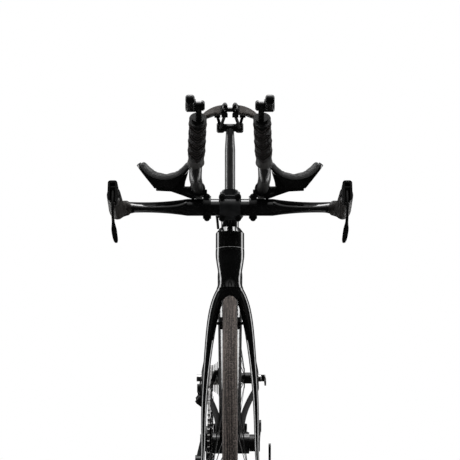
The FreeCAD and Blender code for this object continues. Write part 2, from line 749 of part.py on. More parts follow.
def make_frame():
    """Monocoque frame with its bores, seats and slots."""
    down_tube = loft([
        oval(DOWN_TUBE_HEAD, SIDE, DOWN_TUBE_FRONT, DOWN_TUBE_HALF, DOWN_TUBE_FORE, DOWN_TUBE_AFT),
        oval(BRACKET, SIDE, DOWN_TUBE_FRONT, DOWN_TUBE_HALF, DOWN_TUBE_FORE, DOWN_TUBE_AFT),
    ])
    seat_y = on_seat_tube((TOP_TUBE_MIDDLE - BRACKET.z) / SEAT_UP.z).y
    head_y = on_steerer((TOP_TUBE_MIDDLE - STEER_FOOT.z) / STEER_UP.z).y + TOP_TUBE_HEAD_SETBACK
    half_height = TOP_TUBE_HEIGHT / 2
    top_tube = loft([
        oval(Vector(0, head_y, TOP_TUBE_MIDDLE), SIDE, UP, TOP_TUBE_HALF, half_height, half_height),
        oval(Vector(0, seat_y, TOP_TUBE_MIDDLE), SIDE, UP, SEAT_TUBE_HALF, half_height, half_height),
    ])
    seat_tube = loft([
        seat_section(0.0, SEAT_TUBE_HALF, SEAT_TUBE_FORE, SEAT_TUBE_AFT),
        seat_section(SEAT_TUBE_LENGTH, SEAT_TUBE_HALF, SEAT_TUBE_FORE, SEAT_TUBE_AFT),
    ])
    shell = rod(BRACKET - SIDE * (SHELL_WIDTH / 2), BRACKET + SIDE * (SHELL_WIDTH / 2), SHELL_RADIUS)
    left = frame_side()
    right = [mirrored(piece) for piece in left]
    hanger = strap(REAR_HUB - SIDE * REAR_DROPOUT_X, DROPOUT_RADIUS, HANGER, HANGER_RADIUS,
                   SIDE * -1.0, DROPOUT_THICKNESS)
    body = union(head_tube(), down_tube, top_tube, seat_tube, shell, hanger, *left, *right)
    rear_slot = dropout_slot(REAR_HUB, REAR_DROPOUT_X, REAR_AXLE_END)
    axis_low = on_steerer(CROWN_HEIGHT - BODY_GAP)
    cuts = [
        wheel_room(REAR_HUB, SEAT_TUBE_HALF + BODY_GAP),
        extension_solid(SEAT_GAP),
        rod(on_steerer(CROWN_HEIGHT - 2 * CROWN_SWING), on_steerer(CROWN_HEIGHT + BODY_GAP), CROWN_SWING),
        rod(axis_low, on_steerer(HEAD_TOP + BODY_GAP), STEERER_RADIUS + STEERER_CLEARANCE),
        rod(axis_low, on_steerer(CROWN_HEIGHT + BODY_GAP + BEARING_HEIGHT), BEARING_SEAT),
        rod(BRACKET - SIDE * SHELL_WIDTH, BRACKET + SIDE * SHELL_WIDTH, SHELL_BORE),
        seatpost_solid(RUNNING_FIT),
        rear_slot,
        mirrored(rear_slot),
        rod(HANGER + SIDE, HANGER - SIDE * (DROPOUT_THICKNESS + 1.0), HANGER_BOLT_RADIUS),
        port_cut(SHIFT_PORT, SHIFT_HOUSING_RADIUS),
        mirrored(port_cut(SHIFT_PORT, SHIFT_HOUSING_RADIUS)),
        port_cut(BRAKE_PORT, BRAKE_HOUSING_RADIUS),
    ]
    for sign in (-1, 1):
        hole = Vector(0, TOP_TUBE_BOLT_Y + sign * TOP_TUBE_BOLT_SPACING / 2, TOP_TUBE_TOP)
        cuts.append(rod(hole + UP, hole - UP * TOP_TUBE_BOLT_DEPTH, TOP_TUBE_BOLT_RADIUS))
    return union(body.cut(cuts))


def seatpost_solid(growth=0.0):
    """Aero post from inside the seat tube up to its slimmer head, grown all round for its socket."""
    low = SEAT_TUBE_LENGTH - SEATPOST_INSERTION
    shoulder = SEATPOST_TOP - SEATPOST_SHOULDER_BELOW
    blade = [seat_section(height, SEATPOST_HALF + growth, SEATPOST_FORE + growth, SEATPOST_AFT + growth)
             for height in (low - growth, shoulder)]
    head = [blade[1],
            seat_section(SEATPOST_TOP - CLAMP_BARREL_RADIUS / 2, SEATPOST_HEAD_HALF, SEATPOST_HEAD_FORE,
                         SEATPOST_HEAD_AFT)]
    return union(loft(blade), loft(head))


def make_bearings():
    """Headset bearings and bottom bracket bearings."""
    low = CROWN_HEIGHT + BODY_GAP
    high = EXTENSION_TOP - BEARING_HEIGHT
    inner = STEERER_RADIUS + RUNNING_FIT
    outer = BEARING_SEAT - RUNNING_FIT
    rings = [ring(on_steerer(start), on_steerer(start + BEARING_HEIGHT - SEAT_GAP), outer,
                  inner) for start in (low, high)]
    face = SHELL_WIDTH / 2
    cup = ring(BRACKET + SIDE * (face - BEARING_HEIGHT), BRACKET + SIDE * face, SHELL_BORE - RUNNING_FIT,
               SPINDLE_RADIUS + RUNNING_FIT)
    return Part.makeCompound(rings + [cup, mirrored(cup)])


def make_headset_extension():
    """Aero extension on the head tube, with the upper bearing's seat."""
    bore = rod(on_steerer(HEAD_TOP - BODY_GAP), on_steerer(EXTENSION_TOP + BODY_GAP),
               STEERER_RADIUS + STEERER_CLEARANCE)
    seat = rod(on_steerer(EXTENSION_TOP - BEARING_HEIGHT - SEAT_GAP),
               on_steerer(EXTENSION_TOP + BODY_GAP), BEARING_SEAT)
    return union(extension_solid().cut([bore, seat]))


# Fork

def fork_leg():
    """Left leg with its brake stud."""
    tip_x = FRONT_DROPOUT_X + DROPOUT_THICKNESS / 2
    stations = (
        (CROWN_HEIGHT - BODY_GAP, HEAD_LOW_HALF - LEG_ROOT_HALF, LEG_ROOT_HALF),
        (LEG_TOP_HEIGHT, LEG_TOP_X, LEG_TOP_HALF),
        (LEG_SHOULDER_HEIGHT, LEG_SHOULDER_X, LEG_SHOULDER_HALF),
        (LEG_MIDDLE_HEIGHT, LEG_MIDDLE_X, LEG_MIDDLE_HALF),
        (LEG_LOW_HEIGHT, LEG_LOW_X, LEG_LOW_HALF),
        (LEG_TIP_HEIGHT, tip_x, LEG_TIP_HALF),
    )
    sections = []
    for height, x, half in stations:
        share = 1.0 - height / CROWN_HEIGHT
        centre = on_steerer(height, FORK_RAKE * share, x)
        fore = blend(LEG_TOP_FORE, LEG_TIP_FORE, share)
        aft = blend(LEG_TOP_AFT, LEG_TIP_AFT, share)
        sections.append(oval(centre, SIDE, STEER_FORE, half, fore, aft))
    inner = FRONT_HUB + SIDE * FRONT_DROPOUT_X
    plate = rod(inner, inner + SIDE * DROPOUT_THICKNESS, FORK_TIP_RADIUS)
    return [loft(sections), plate, brake_stud(FRONT_HUB, FRONT_RADIAL, FRONT_STUD)]


def arch_room():
    """Round-topped room that the front wheel needs under the crown."""
    side = SIDE * ARCH_HALF
    core = rod(FRONT_HUB - side, FRONT_HUB + side, TYRE_CENTRE)
    rise = WHEEL_RADIUS + TYRE_ROOM - TYRE_CENTRE
    arch = Part.Face(oval(FRONT_HUB + UP * TYRE_CENTRE, SIDE, UP, ARCH_HALF, rise, rise))
    return [core, arch.revolve(FRONT_HUB, SIDE, FULL_TURN)]


def make_fork():
    """Steerer, crown and two blades with dropouts."""
    crown = loft([
        head_section(CROWN_HEIGHT, HEAD_LOW_HALF, HEAD_FORE, CROWN_AFT),
        head_section(LEG_TOP_HEIGHT, CROWN_BASE_HALF, CROWN_BASE_FORE, CROWN_BASE_AFT),
    ])
    steerer = rod(on_steerer(LEG_TOP_HEIGHT), on_steerer(STEERER_TOP), STEERER_RADIUS)
    left = fork_leg()
    right = [mirrored(piece) for piece in left]
    slot = dropout_slot(FRONT_HUB, FRONT_DROPOUT_X, FRONT_AXLE_END)
    bore = rod(on_steerer(CROWN_HEIGHT), on_steerer(STEERER_TOP + BODY_GAP), STEERER_BORE)
    cuts = arch_room() + [slot, mirrored(slot), bore]
    return union(union(crown, steerer, *left, *right).cut(cuts))


def make_headset_cover():
    """Domed cover over the upper bearing, and the spacer above it."""
    low = EXTENSION_TOP + BODY_GAP
    dome = loft([
        head_section(low, HEAD_TOP_HALF, HEAD_FORE, HEAD_FORE),
        head_section(COVER_TOP, COVER_TOP_RADIUS, COVER_TOP_RADIUS, COVER_TOP_RADIUS),
    ])
    bore = rod(on_steerer(low - BODY_GAP), on_steerer(COVER_TOP + BODY_GAP), STEERER_RADIUS + RUNNING_FIT)
    spacer = ring(on_steerer(COVER_TOP + SEAT_GAP), on_steerer(SPACER_TOP - SEAT_GAP), SPACER_RADIUS,
                  STEERER_RADIUS + RUNNING_FIT)
    return Part.makeCompound([union(dome.cut(bore)), union(spacer)])


# Wheels

HOOK_RADIUS = BEAD_SEAT_RADIUS + RIM_HOOK
RIM_INNER_RADIUS = HOOK_RADIUS - RIM_DEPTH
RIM_HALF = RIM_WIDTH / 2
HOOK_INNER = RIM_HALF - RIM_HOOK_WALL


def make_tyre(hub):
    """Tyre carcass with its beads in the rim."""
    outer = TYRE_SECTION / 2
    inner = outer - TYRE_WALL
    below = TYRE_CENTRE - HOOK_RADIUS - SEAT_GAP
    outer_x = math.sqrt(outer ** 2 - below ** 2)
    inner_x = math.sqrt(inner ** 2 - below ** 2)
    bead_x = HOOK_INNER - SEAT_GAP
    seat = BEAD_SEAT_RADIUS + SEAT_GAP
    hook = HOOK_RADIUS + SEAT_GAP

    def at(x, radius):
        return hub + SIDE * x + UP * radius

    right = [at(outer_x, hook), at(bead_x, hook), at(bead_x, seat), at(inner_x, seat), at(inner_x, hook)]
    left = [mirrored(Part.Vertex(point)).Point for point in right]
    edges = [line(*run) for run in zip(right, right[1:])]
    edges.append(arc(right[-1], at(0.0, TYRE_CENTRE + inner), left[-1]))
    edges += [line(*run) for run in zip(left[::-1], left[-2::-1])]
    edges.append(arc(left[0], at(0.0, TYRE_CENTRE + outer), right[0]))
    return Part.Face(Part.Wire(edges)).revolve(hub, SIDE, FULL_TURN)


def make_rim(hub):
    """Deep hollow rim with a brake track, a bellied flank and a rounded nose."""
    track = HOOK_RADIUS - BRAKE_TRACK
    middle = (track + RIM_INNER_RADIUS) / 2
    bulge_x = (RIM_HALF + RIM_NOSE_HALF) / 2 + RIM_BELLY

    def at(x, radius):
        return hub + SIDE * x + UP * radius

    def flank(inset, top, sign):
        return [at(sign * (RIM_HALF - inset), top), at(sign * (bulge_x - inset), middle),
                at(sign * (RIM_NOSE_HALF - inset), RIM_INNER_RADIUS + inset)]

    right = flank(0.0, track, 1)
    left = flank(0.0, track, -1)
    outline = [
        arc(*right),
        line(right[2], left[2]),
        arc(*left[::-1]),
        line(left[0], at(-RIM_HALF, HOOK_RADIUS)),
        line(at(-RIM_HALF, HOOK_RADIUS), at(-HOOK_INNER, HOOK_RADIUS)),
        line(at(-HOOK_INNER, HOOK_RADIUS), at(-HOOK_INNER, BEAD_SEAT_RADIUS)),
        line(at(-HOOK_INNER, BEAD_SEAT_RADIUS), at(HOOK_INNER, BEAD_SEAT_RADIUS)),
        line(at(HOOK_INNER, BEAD_SEAT_RADIUS), at(HOOK_INNER, HOOK_RADIUS)),
        line(at(HOOK_INNER, HOOK_RADIUS), at(RIM_HALF, HOOK_RADIUS)),
        line(at(RIM_HALF, HOOK_RADIUS), right[0]),
    ]
    bed = BEAD_SEAT_RADIUS - RIM_WALL
    inner_right = flank(RIM_WALL, track, 1)
    inner_left = flank(RIM_WALL, track, -1)
    cavity = [
        arc(*inner_right),
        line(inner_right[2], inner_left[2]),
        arc(*inner_left[::-1]),
        line(inner_left[0], at(RIM_WALL - RIM_HALF, bed)),
        line(at(RIM_WALL - RIM_HALF, bed), at(RIM_HALF - RIM_WALL, bed)),
        line(at(RIM_HALF - RIM_WALL, bed), inner_right[0]),
    ]
    solid = Part.Face(Part.Wire(outline)).revolve(hub, SIDE, FULL_TURN)
    void = Part.Face(Part.Wire(cavity)).revolve(hub, SIDE, FULL_TURN)
    return union(solid.cut(void))


def make_spokes(hub, count, left_x, right_x, flange_radius):
    """Bladed radial spokes from both flanges to the rim, in turn left and right."""
    spokes = []
    start_radius = flange_radius + SEAT_GAP + SPOKE_THICKNESS / 2
    end_radius = RIM_INNER_RADIUS - SEAT_GAP - SPOKE_THICKNESS / 2
    for index in range(count):
        angle = 2 * math.pi * index / count
        outward = BACK * math.sin(angle) + UP * math.cos(angle)
        sign = -1 if index % 2 else 1
        flange_x = right_x if index % 2 else left_x
        start = hub + SIDE * (sign * flange_x) + outward * start_radius
        end = hub + SIDE * (sign * SPOKE_OFFSET) + outward * end_radius
        along = unit(end - start)
        across = SIDE.cross(outward)
        flat = along.cross(across)
        corner = start - across * (SPOKE_WIDTH / 2) - flat * (SPOKE_THICKNESS / 2)
        profile = Part.makePolygon([corner, corner + across * SPOKE_WIDTH,
                                    corner + across * SPOKE_WIDTH + flat * SPOKE_THICKNESS,
                                    corner + flat * SPOKE_THICKNESS, corner])
        spokes.append(Part.Face(profile).extrude(end - start))
    return Part.makeCompound(spokes)


def hub_outline(left_x, right_x, flange_radius, left_end, right_end):
    """Outline of a hub shell with two flanges, as (x, radius) points."""
    half = FLANGE_THICKNESS / 2
    bore = AXLE_RADIUS + RUNNING_FIT
    return [
        (-right_end, bore), (-right_end, HUB_BEARING_RADIUS),
        (-right_x - half, HUB_BEARING_RADIUS), (-right_x - half, flange_radius),
        (-right_x + half, flange_radius),
        (-right_x + half, HUB_BEARING_RADIUS), (-right_x + 2 * FLANGE_THICKNESS, HUB_SHELL_RADIUS),
        (left_x - 2 * FLANGE_THICKNESS, HUB_SHELL_RADIUS), (left_x - half, HUB_BEARING_RADIUS),
        (left_x - half, flange_radius), (left_x + half, flange_radius),
        (left_x + half, HUB_BEARING_RADIUS),
        (left_end, HUB_BEARING_RADIUS), (left_end, bore),
    ]


FREEHUB_INNER = DRIVE_FLANGE_X + FLANGE_THICKNESS / 2 + BODY_GAP


def make_front_hub():
    """Front hub shell."""
    end = FRONT_HUB_WIDTH / 2 - LOCKNUT_LENGTH - BODY_GAP
    return spun(hub_outline(FRONT_FLANGE_X, FRONT_FLANGE_X, FRONT_FLANGE_RADIUS, end, end), FRONT_HUB)


def make_rear_hub():
    """Rear hub shell, short on the drive side where the freehub follows it."""
    left_end = REAR_HUB_WIDTH / 2 - LOCKNUT_LENGTH - BODY_GAP
    return spun(hub_outline(REAR_FLANGE_X, DRIVE_FLANGE_X, REAR_FLANGE_RADIUS, left_end,
                            FREEHUB_INNER - BODY_GAP), REAR_HUB)


def make_axle(hub, width, end_radius, pin):
    """Hollow axle with locknuts, and the skewer through it with its nut and the ears for the lever's pin."""
    half = width / 2
    face = half + SEAT_GAP + DROPOUT_THICKNESS
    nut_start = half - LOCKNUT_LENGTH
    tip = face - SEAT_GAP
    bore = SKEWER_RADIUS + RUNNING_FIT
    axle = spun([(-tip, bore), (-tip, end_radius), (-half, end_radius), (-half, LOCKNUT_RADIUS),
                 (-nut_start, LOCKNUT_RADIUS), (-nut_start, AXLE_RADIUS), (nut_start, AXLE_RADIUS),
                 (nut_start, LOCKNUT_RADIUS), (half, LOCKNUT_RADIUS), (half, end_radius),
                 (tip, end_radius), (tip, bore)], hub)
    start = face + SEAT_GAP
    end = start + CAM_HOUSING_LENGTH
    nut_end = start + SKEWER_NUT_LENGTH
    skewer = spun([(-nut_end, 0.0), (-nut_end, SKEWER_NUT_RADIUS),
                   (-start, SKEWER_NUT_RADIUS), (-start, SKEWER_RADIUS), (start, SKEWER_RADIUS),
                   (start, LOCKNUT_RADIUS), (end, LOCKNUT_RADIUS), (end, 0.0)], hub)
    centre = cam_centre(hub, width)
    ear_offset = (CAM_BOSS_LENGTH + CAM_EAR) / 2 + SEAT_GAP
    pieces = []
    across = SIDE.cross(pin)
    for sign in (-1, 1):
        middle = centre + pin * (sign * ear_offset)
        root = Vector((end + centre.x) / 2, middle.y, middle.z)
        ear = slab(root, SIDE, centre.x - end + CAM_EAR, pin, CAM_EAR, across, 2 * CAM_BOSS_RADIUS)
        eye = rod(middle - pin * (CAM_EAR / 2), middle + pin * (CAM_EAR / 2), CAM_BOSS_RADIUS)
        pieces += [ear, eye]
    hole = rod(centre - pin * LOCKNUT_RADIUS, centre + pin * LOCKNUT_RADIUS, CAM_PIN_RADIUS + RUNNING_FIT)
    return Part.makeCompound([axle, union(union(skewer, *pieces).cut(hole))])


def cam_centre(hub, width):
    """Pivot of a quick-release lever, outside the left dropout."""
    face = width / 2 + 2 * SEAT_GAP + DROPOUT_THICKNESS + CAM_HOUSING_LENGTH
    return hub + SIDE * (face + CAM_BOSS_RADIUS + BODY_GAP)


def make_release_lever(hub, width, direction, axis):
    """Quick-release lever that lies along a direction when closed and turns about an axis."""
    centre = cam_centre(hub, width)
    boss = rod(centre - axis * (CAM_BOSS_LENGTH / 2), centre + axis * (CAM_BOSS_LENGTH / 2),
               CAM_BOSS_RADIUS)
    reach = CAM_BOSS_LENGTH / 2 + CAM_EAR + SEAT_GAP
    pin = rod(centre - axis * reach, centre + axis * reach, CAM_PIN_RADIUS)
    outer = centre + SIDE * (CAM_BOSS_RADIUS - RELEASE_LEVER_THICKNESS)
    blade = strap(outer + direction * CAM_HEEL, CAM_BOSS_LENGTH / 2 - BODY_GAP,
                  outer + direction * RELEASE_LEVER_LENGTH, RELEASE_LEVER_TIP_RADIUS, SIDE,
                  RELEASE_LEVER_THICKNESS)
    return union(boss, pin, blade)


# Chain drive

def pitch_radius(teeth):
    """Radius of the circle that the chain's pins follow on a sprocket."""
    return CHAIN_PITCH / (2 * math.sin(math.pi / teeth))


def flat_point(number, x):
    """Point from a complex number that holds Y and Z."""
    return Vector(x, number.real, number.imag)


def turned(angle):
    """Unit complex number at an angle."""
    return complex(math.cos(angle), math.sin(angle))


def sprocket(centre, x, teeth, thickness, phase, bore):
    """Toothed plate across X, with roller seats at the phase angle and a round bore."""
    radius = pitch_radius(teeth)
    step = 2 * math.pi / teeth
    seat = ROLLER_RADIUS + ROLLER_ROOM
    seat_angle = math.radians(TOOTH_SEAT_ANGLE)
    tip_radius = radius + TOOTH_HEIGHT
    tip_angle = step / 2 - TOOTH_TIP_HALF / tip_radius
    low_x = x - thickness / 2
    edges = []
    for tooth in range(teeth):
        angle = phase + tooth * step
        roller = centre + radius * turned(angle)
        seat_points = [roller - seat * turned(angle + bend) for bend in (seat_angle, 0.0, -seat_angle)]
        before = centre + tip_radius * turned(angle - tip_angle)
        after = centre + tip_radius * turned(angle + tip_angle)
        ahead = centre + tip_radius * turned(angle + step - tip_angle)
        first, middle, last = [flat_point(point, low_x) for point in seat_points]
        edges.append(line(flat_point(before, low_x), first))
        edges.append(arc(first, middle, last))
        edges.append(line(last, flat_point(after, low_x)))
        edges.append(line(flat_point(after, low_x), flat_point(ahead, low_x)))
    hole = Part.Wire(Part.makeCircle(bore, flat_point(centre, low_x), SIDE))
    face = Part.Face(Part.Wire(edges))
    solid = face.extrude(SIDE * thickness)
    return union(solid.cut(Part.Face(hole).extrude(SIDE * thickness)))


def tangent(first, second):
    """Straight chain run between two wheels, each a (centre, teeth, turning) tuple."""
    centre_1, teeth_1, turning_1 = first
    centre_2, teeth_2, turning_2 = second
    reach_1 = pitch_radius(teeth_1) * turning_1
    reach_2 = pitch_radius(teeth_2) * turning_2
    span = centre_2 - centre_1
    angle = math.atan2(span.imag, span.real) + math.asin((reach_1 - reach_2) / abs(span))
    normal = turned(angle - math.pi / 2)
    return centre_1 + reach_1 * normal, centre_2 + reach_2 * normal


def course(wheels):
    """Chain course as straight runs and wraps, with lengths in pitches."""
    runs = [tangent(wheel, wheels[(index + 1) % len(wheels)]) for index, wheel in enumerate(wheels)]
    legs = []
    for index, (leave, arrive) in enumerate(runs):
        legs.append(("run", leave, arrive, abs(arrive - leave) / CHAIN_PITCH))
        wheel = wheels[(index + 1) % len(wheels)]
        depart = runs[(index + 1) % len(runs)][0]
        centre, teeth, turning = wheel
        angle_in = math.atan2((arrive - centre).imag, (arrive - centre).real)
        angle_out = math.atan2((depart - centre).imag, (depart - centre).real)
        wrap = (turning * (angle_out - angle_in)) % (2 * math.pi)
        legs.append(("wrap", wheel, angle_in, wrap * teeth / (2 * math.pi)))
    return legs


def chain_pins(legs, count):
    """Pin positions one pitch apart along the course, and each wheel's tooth phase."""
    pins = []
    phases = []
    start = 0.0
    for kind, first, second, length in legs:
        index = math.ceil(start)
        if kind == "wrap":
            centre, teeth, turning = first
            step = turning * 2 * math.pi / teeth
            phases.append(second + (index - start) * step)
        while index < start + length and index < count:
            along = index - start
            if kind == "run":
                pins.append(first + (second - first) * (along / length))
            else:
                pins.append(centre + pitch_radius(teeth) * turned(second + along * step))
            index += 1
        start += length
    return pins, phases


CRANK_CENTRE = complex(BRACKET.y, BRACKET.z)
COG_CENTRE = complex(REAR_HUB.y, REAR_HUB.z)
GUIDE_CENTRE = COG_CENTRE + complex(GUIDE_BACK, -GUIDE_DROP)


def wheels_for(lean):
    """Wheels on the chain's course for a lean of the derailleur cage from the vertical."""
    tension_centre = GUIDE_CENTRE + CAGE_LENGTH * turned(math.radians(-lean) - math.pi / 2)
    return [(CRANK_CENTRE, OUTER_RING_TEETH, -1), (COG_CENTRE, SPROCKET_TEETH[DRIVEN_SPROCKET], -1),
            (GUIDE_CENTRE, PULLEY_TEETH, 1), (tension_centre, PULLEY_TEETH, -1)]


def chain_length(lean):
    """Length of the course in pitches."""
    return sum(leg[3] for leg in course(wheels_for(lean)))


def solve_lean():
    """Cage lean that closes the chain on an even number of links."""
    links = 2 * round(chain_length(CAGE_LEAN) / 2)
    slack, tight = CAGE_LEAN + LEAN_SEARCH, CAGE_LEAN - LEAN_SEARCH
    while slack - tight > LEAN_STEP:
        middle = (slack + tight) / 2
        if chain_length(middle) > links:
            tight = middle
        else:
            slack = middle
    return middle, links


LEAN, LINKS = solve_lean()
WHEELS = wheels_for(LEAN)
TENSION_CENTRE = WHEELS[3][0]
PINS, PHASES = chain_pins(course(WHEELS), LINKS)
COG_PHASE, GUIDE_PHASE, TENSION_PHASE, RING_PHASE = PHASES


def chain_plate(x):
    """Waisted plate over one pitch along Y, from its first pin at the origin."""
    radius = CHAIN_PLATE_RADIUS
    third = math.pi / 3
    first = [Vector(x, radius * math.cos(angle), radius * math.sin(angle)) for angle in (third, math.pi,
            -third)]
    far = [Vector(x, CHAIN_PITCH - point.y, point.z) for point in first]
    middle = CHAIN_PITCH / 2
    edges = [
        arc(*first),
        arc(first[2], Vector(x, middle, -CHAIN_PLATE_WAIST), far[2]),
        arc(*far[::-1]),
        arc(far[0], Vector(x, middle, CHAIN_PLATE_WAIST), first[0]),
    ]
    return Part.Face(Part.Wire(edges)).extrude(SIDE * CHAIN_PLATE)


def chain_template(inner_face, pin_radius, hole_radius):
    """One link: two plates on two round members, bored where pins pass."""
    pieces = [chain_plate(inner_face), chain_plate(-inner_face - CHAIN_PLATE)]
    holes = []
    for y in (0.0, CHAIN_PITCH):
        low = Vector(-inner_face - CHAIN_PLATE, y, 0)
        high = Vector(inner_face + CHAIN_PLATE, y, 0)
        reach = SIDE * (CHAIN_PLATE if hole_radius else 0.0)
        pieces.append(rod(low + reach, high - reach, pin_radius))
        if hole_radius:
            holes.append(rod(low - SIDE, high + SIDE, hole_radius))
    link = union(*pieces)
    return union(link.cut(holes)) if holes else link


def make_chain():
    """Inner and outer links laid along the chain's course in turn."""
    inner = chain_template(ROLLER_HALF, ROLLER_RADIUS, CHAIN_PIN_RADIUS + 2 * RUNNING_FIT)
    outer = chain_template(ROLLER_HALF + CHAIN_PLATE + CHAIN_PLATE_GAP, CHAIN_PIN_RADIUS, 0.0)
    links = []
    for index, pin in enumerate(PINS):
        reach = PINS[(index + 1) % len(PINS)] - pin
        along = reach / abs(reach)
        start = pin + reach / 2 - along * (CHAIN_PITCH / 2)
        matrix = Matrix(1, 0, 0, -CHAINLINE, 0, along.real, -along.imag, start.real,
                        0, along.imag, along.real, start.imag, 0, 0, 0, 1)
        link = (inner if index % 2 else outer).copy()
        link.Placement = Placement(matrix)
        links.append(link)
    return Part.makeCompound(links)


RING_X = {OUTER_RING_TEETH: -CHAINLINE, INNER_RING_TEETH: RING_SPACING - CHAINLINE}


def ring_bolt_centres(x):
    """Centres of the chainring bolts at a distance across the bicycle."""
    turn = 2 * math.pi / RING_BOLTS
    return [flat_point(CRANK_CENTRE + RING_BOLT_CIRCLE * turned(turn * (index + 0.5)),
                       x) for index in range(RING_BOLTS)]


def make_chainrings():
    """Outer and inner chainring, bored for the bolts."""
    rings = []
    for teeth, x in RING_X.items():
        plate = sprocket(CRANK_CENTRE, x, teeth, RING_THICKNESS, RING_PHASE, RING_INNER_RADIUS)
        holes = [rod(centre - SIDE * RING_THICKNESS, centre + SIDE * RING_THICKNESS,
                     RING_BOLT_RADIUS + RUNNING_FIT)
                 for centre in ring_bolt_centres(x)]
        rings.append(union(plate.cut(holes)))
    return Part.makeCompound(rings)


RING_OUTER_FACE = -CHAINLINE - RING_THICKNESS / 2
RING_INNER_FACE = RING_SPACING - CHAINLINE + RING_THICKNESS / 2
SPIDER_LOW = RING_SPACING - CHAINLINE - RING_THICKNESS / 2 - SEAT_GAP
SPIDER_HIGH = -CHAINLINE + RING_THICKNESS / 2 + SEAT_GAP


def make_chainring_bolts():
    """Bolts through both chainrings and the spider."""
    bolts = []
    for centre in ring_bolt_centres(0.0):
        low = centre + SIDE * (RING_OUTER_FACE - SEAT_GAP)
        high = centre + SIDE * (RING_INNER_FACE + SEAT_GAP)
        head = SIDE * RING_BOLT_HEAD_LENGTH
        bolts.append(union(rod(low, high, RING_BOLT_RADIUS), rod(low - head, low, RING_BOLT_HEAD),
                           rod(high, high + head, RING_BOLT_HEAD)))
    return Part.makeCompound(bolts)


def crank_blade(direction, sign):
    """Crank arm that flares out from the boss to the pedal eye."""
    boss_x = sign * CRANK_INNER_X
    tip_x = sign * (CRANK_INNER_X + CRANK_FLARE)
    outward = SIDE * sign
    boss = BRACKET + SIDE * boss_x
    tip = BRACKET + SIDE * tip_x + direction * CRANK_LENGTH
    across = SIDE.cross(direction)
    half = CRANK_THICKNESS / 2
    arm = loft([
        oval(boss + outward * half, SIDE, across, half, CRANK_BOSS_RADIUS, CRANK_BOSS_RADIUS),
        oval(tip + outward * half, SIDE, across, half, CRANK_ARM_HALF, CRANK_ARM_HALF),
    ])
    eye = rod(tip, tip + outward * CRANK_THICKNESS, CRANK_TIP_RADIUS)
    thread = rod(tip - outward, tip + outward * (CRANK_THICKNESS + 1.0), PEDAL_THREAD_RADIUS)
    collar = rod(BRACKET + outward * (SHELL_WIDTH / 2 + BODY_GAP), boss + outward * CRANK_THICKNESS,
                 CRANK_BOSS_RADIUS)
    return [arm, eye, collar], thread


def make_crank_right():
    """Drive-side crank with its spider, and the spindle that is pressed into it."""
    pieces, thread = crank_blade(BACK * -1.0, -1)
    low = SIDE * SPIDER_HIGH
    root = SIDE * -CRANK_INNER_X
    for centre in ring_bolt_centres(0.0):
        pieces.append(strap(BRACKET + low, SPIDER_ARM_HALF, centre + low, SPIDER_ARM_HALF, SIDE,
                            SPIDER_LOW - SPIDER_HIGH))
        knee = blend(BRACKET, centre, SPIDER_ROOT_SHARE)
        pieces.append(strap(BRACKET + root, SPIDER_ARM_HALF, knee + root, SPIDER_ARM_HALF, SIDE,
                            SPIDER_HIGH + CRANK_INNER_X))
    inner = SIDE * (SHELL_WIDTH / 2 + BODY_GAP)
    shell_room = rod(BRACKET, BRACKET - inner, SHELL_RADIUS + 2 * BODY_GAP)
    seat_x = CRANK_INNER_X + CRANK_THICKNESS / 2
    spindle = ring(BRACKET - SIDE * seat_x, BRACKET + SIDE * CRANK_INNER_X, SPINDLE_RADIUS, SPINDLE_BORE)
    socket = rod(BRACKET, BRACKET - SIDE * (seat_x + SEAT_GAP), SPINDLE_RADIUS + RUNNING_FIT)
    ring_room = [rod(centre - SIDE * CHAINLINE * 2, centre,
                     RING_BOLT_RADIUS + RUNNING_FIT) for centre in ring_bolt_centres(0.0)]
    arm = union(union(*pieces).cut([shell_room, thread, socket] + ring_room))
    return Part.makeCompound([arm, spindle])


def make_crank_left():
    """Left crank, clamped on the spindle."""
    pieces, thread = crank_blade(BACK, 1)
    socket = rod(BRACKET, BRACKET + SIDE * (CRANK_INNER_X + SEAT_GAP), SPINDLE_RADIUS + RUNNING_FIT)
    return union(union(*pieces).cut([thread, socket]))


def make_cassette():
    """Eleven sprockets on the freehub body, held by a lockring."""
    pieces = []
    for index, teeth in enumerate(SPROCKET_TEETH):
        x = -CHAINLINE + (index - DRIVEN_SPROCKET) * SPROCKET_SPACING
        pieces.append(sprocket(COG_CENTRE, x, teeth, SPROCKET_THICKNESS, COG_PHASE,
                               FREEHUB_RADIUS + RUNNING_FIT))
    outer = CHAINLINE + DRIVEN_SPROCKET * SPROCKET_SPACING + SPROCKET_THICKNESS / 2
    bore = AXLE_RADIUS + RUNNING_FIT
    start = outer + SEAT_GAP
    lock = start + LOCKRING_THICKNESS
    freehub = spun([(-FREEHUB_INNER, bore), (-FREEHUB_INNER, FREEHUB_RADIUS), (-start, FREEHUB_RADIUS),
                    (-start, LOCKRING_RADIUS), (-lock, LOCKRING_RADIUS),
                    (-lock, LOCKNUT_RADIUS + BODY_GAP),
                    (-REAR_HUB_WIDTH / 2 + LOCKNUT_LENGTH + BODY_GAP, LOCKNUT_RADIUS + BODY_GAP),
                    (-REAR_HUB_WIDTH / 2 + LOCKNUT_LENGTH + BODY_GAP, bore)], REAR_HUB)
    return Part.makeCompound(pieces + [freehub])


# Cockpit

STEM_MIDDLE = (SPACER_TOP + STEERER_TOP) / 2
STEM_AXIS = on_steerer(STEM_MIDDLE)
BAR = STEM_AXIS - BACK * STEM_REACH
BAR_CLAMP_OUTER = BAR_CLAMP_RADIUS + BAR_CLAMP_WALL
ARMREST_BOTTOM = BAR.z + ARMREST_RISE


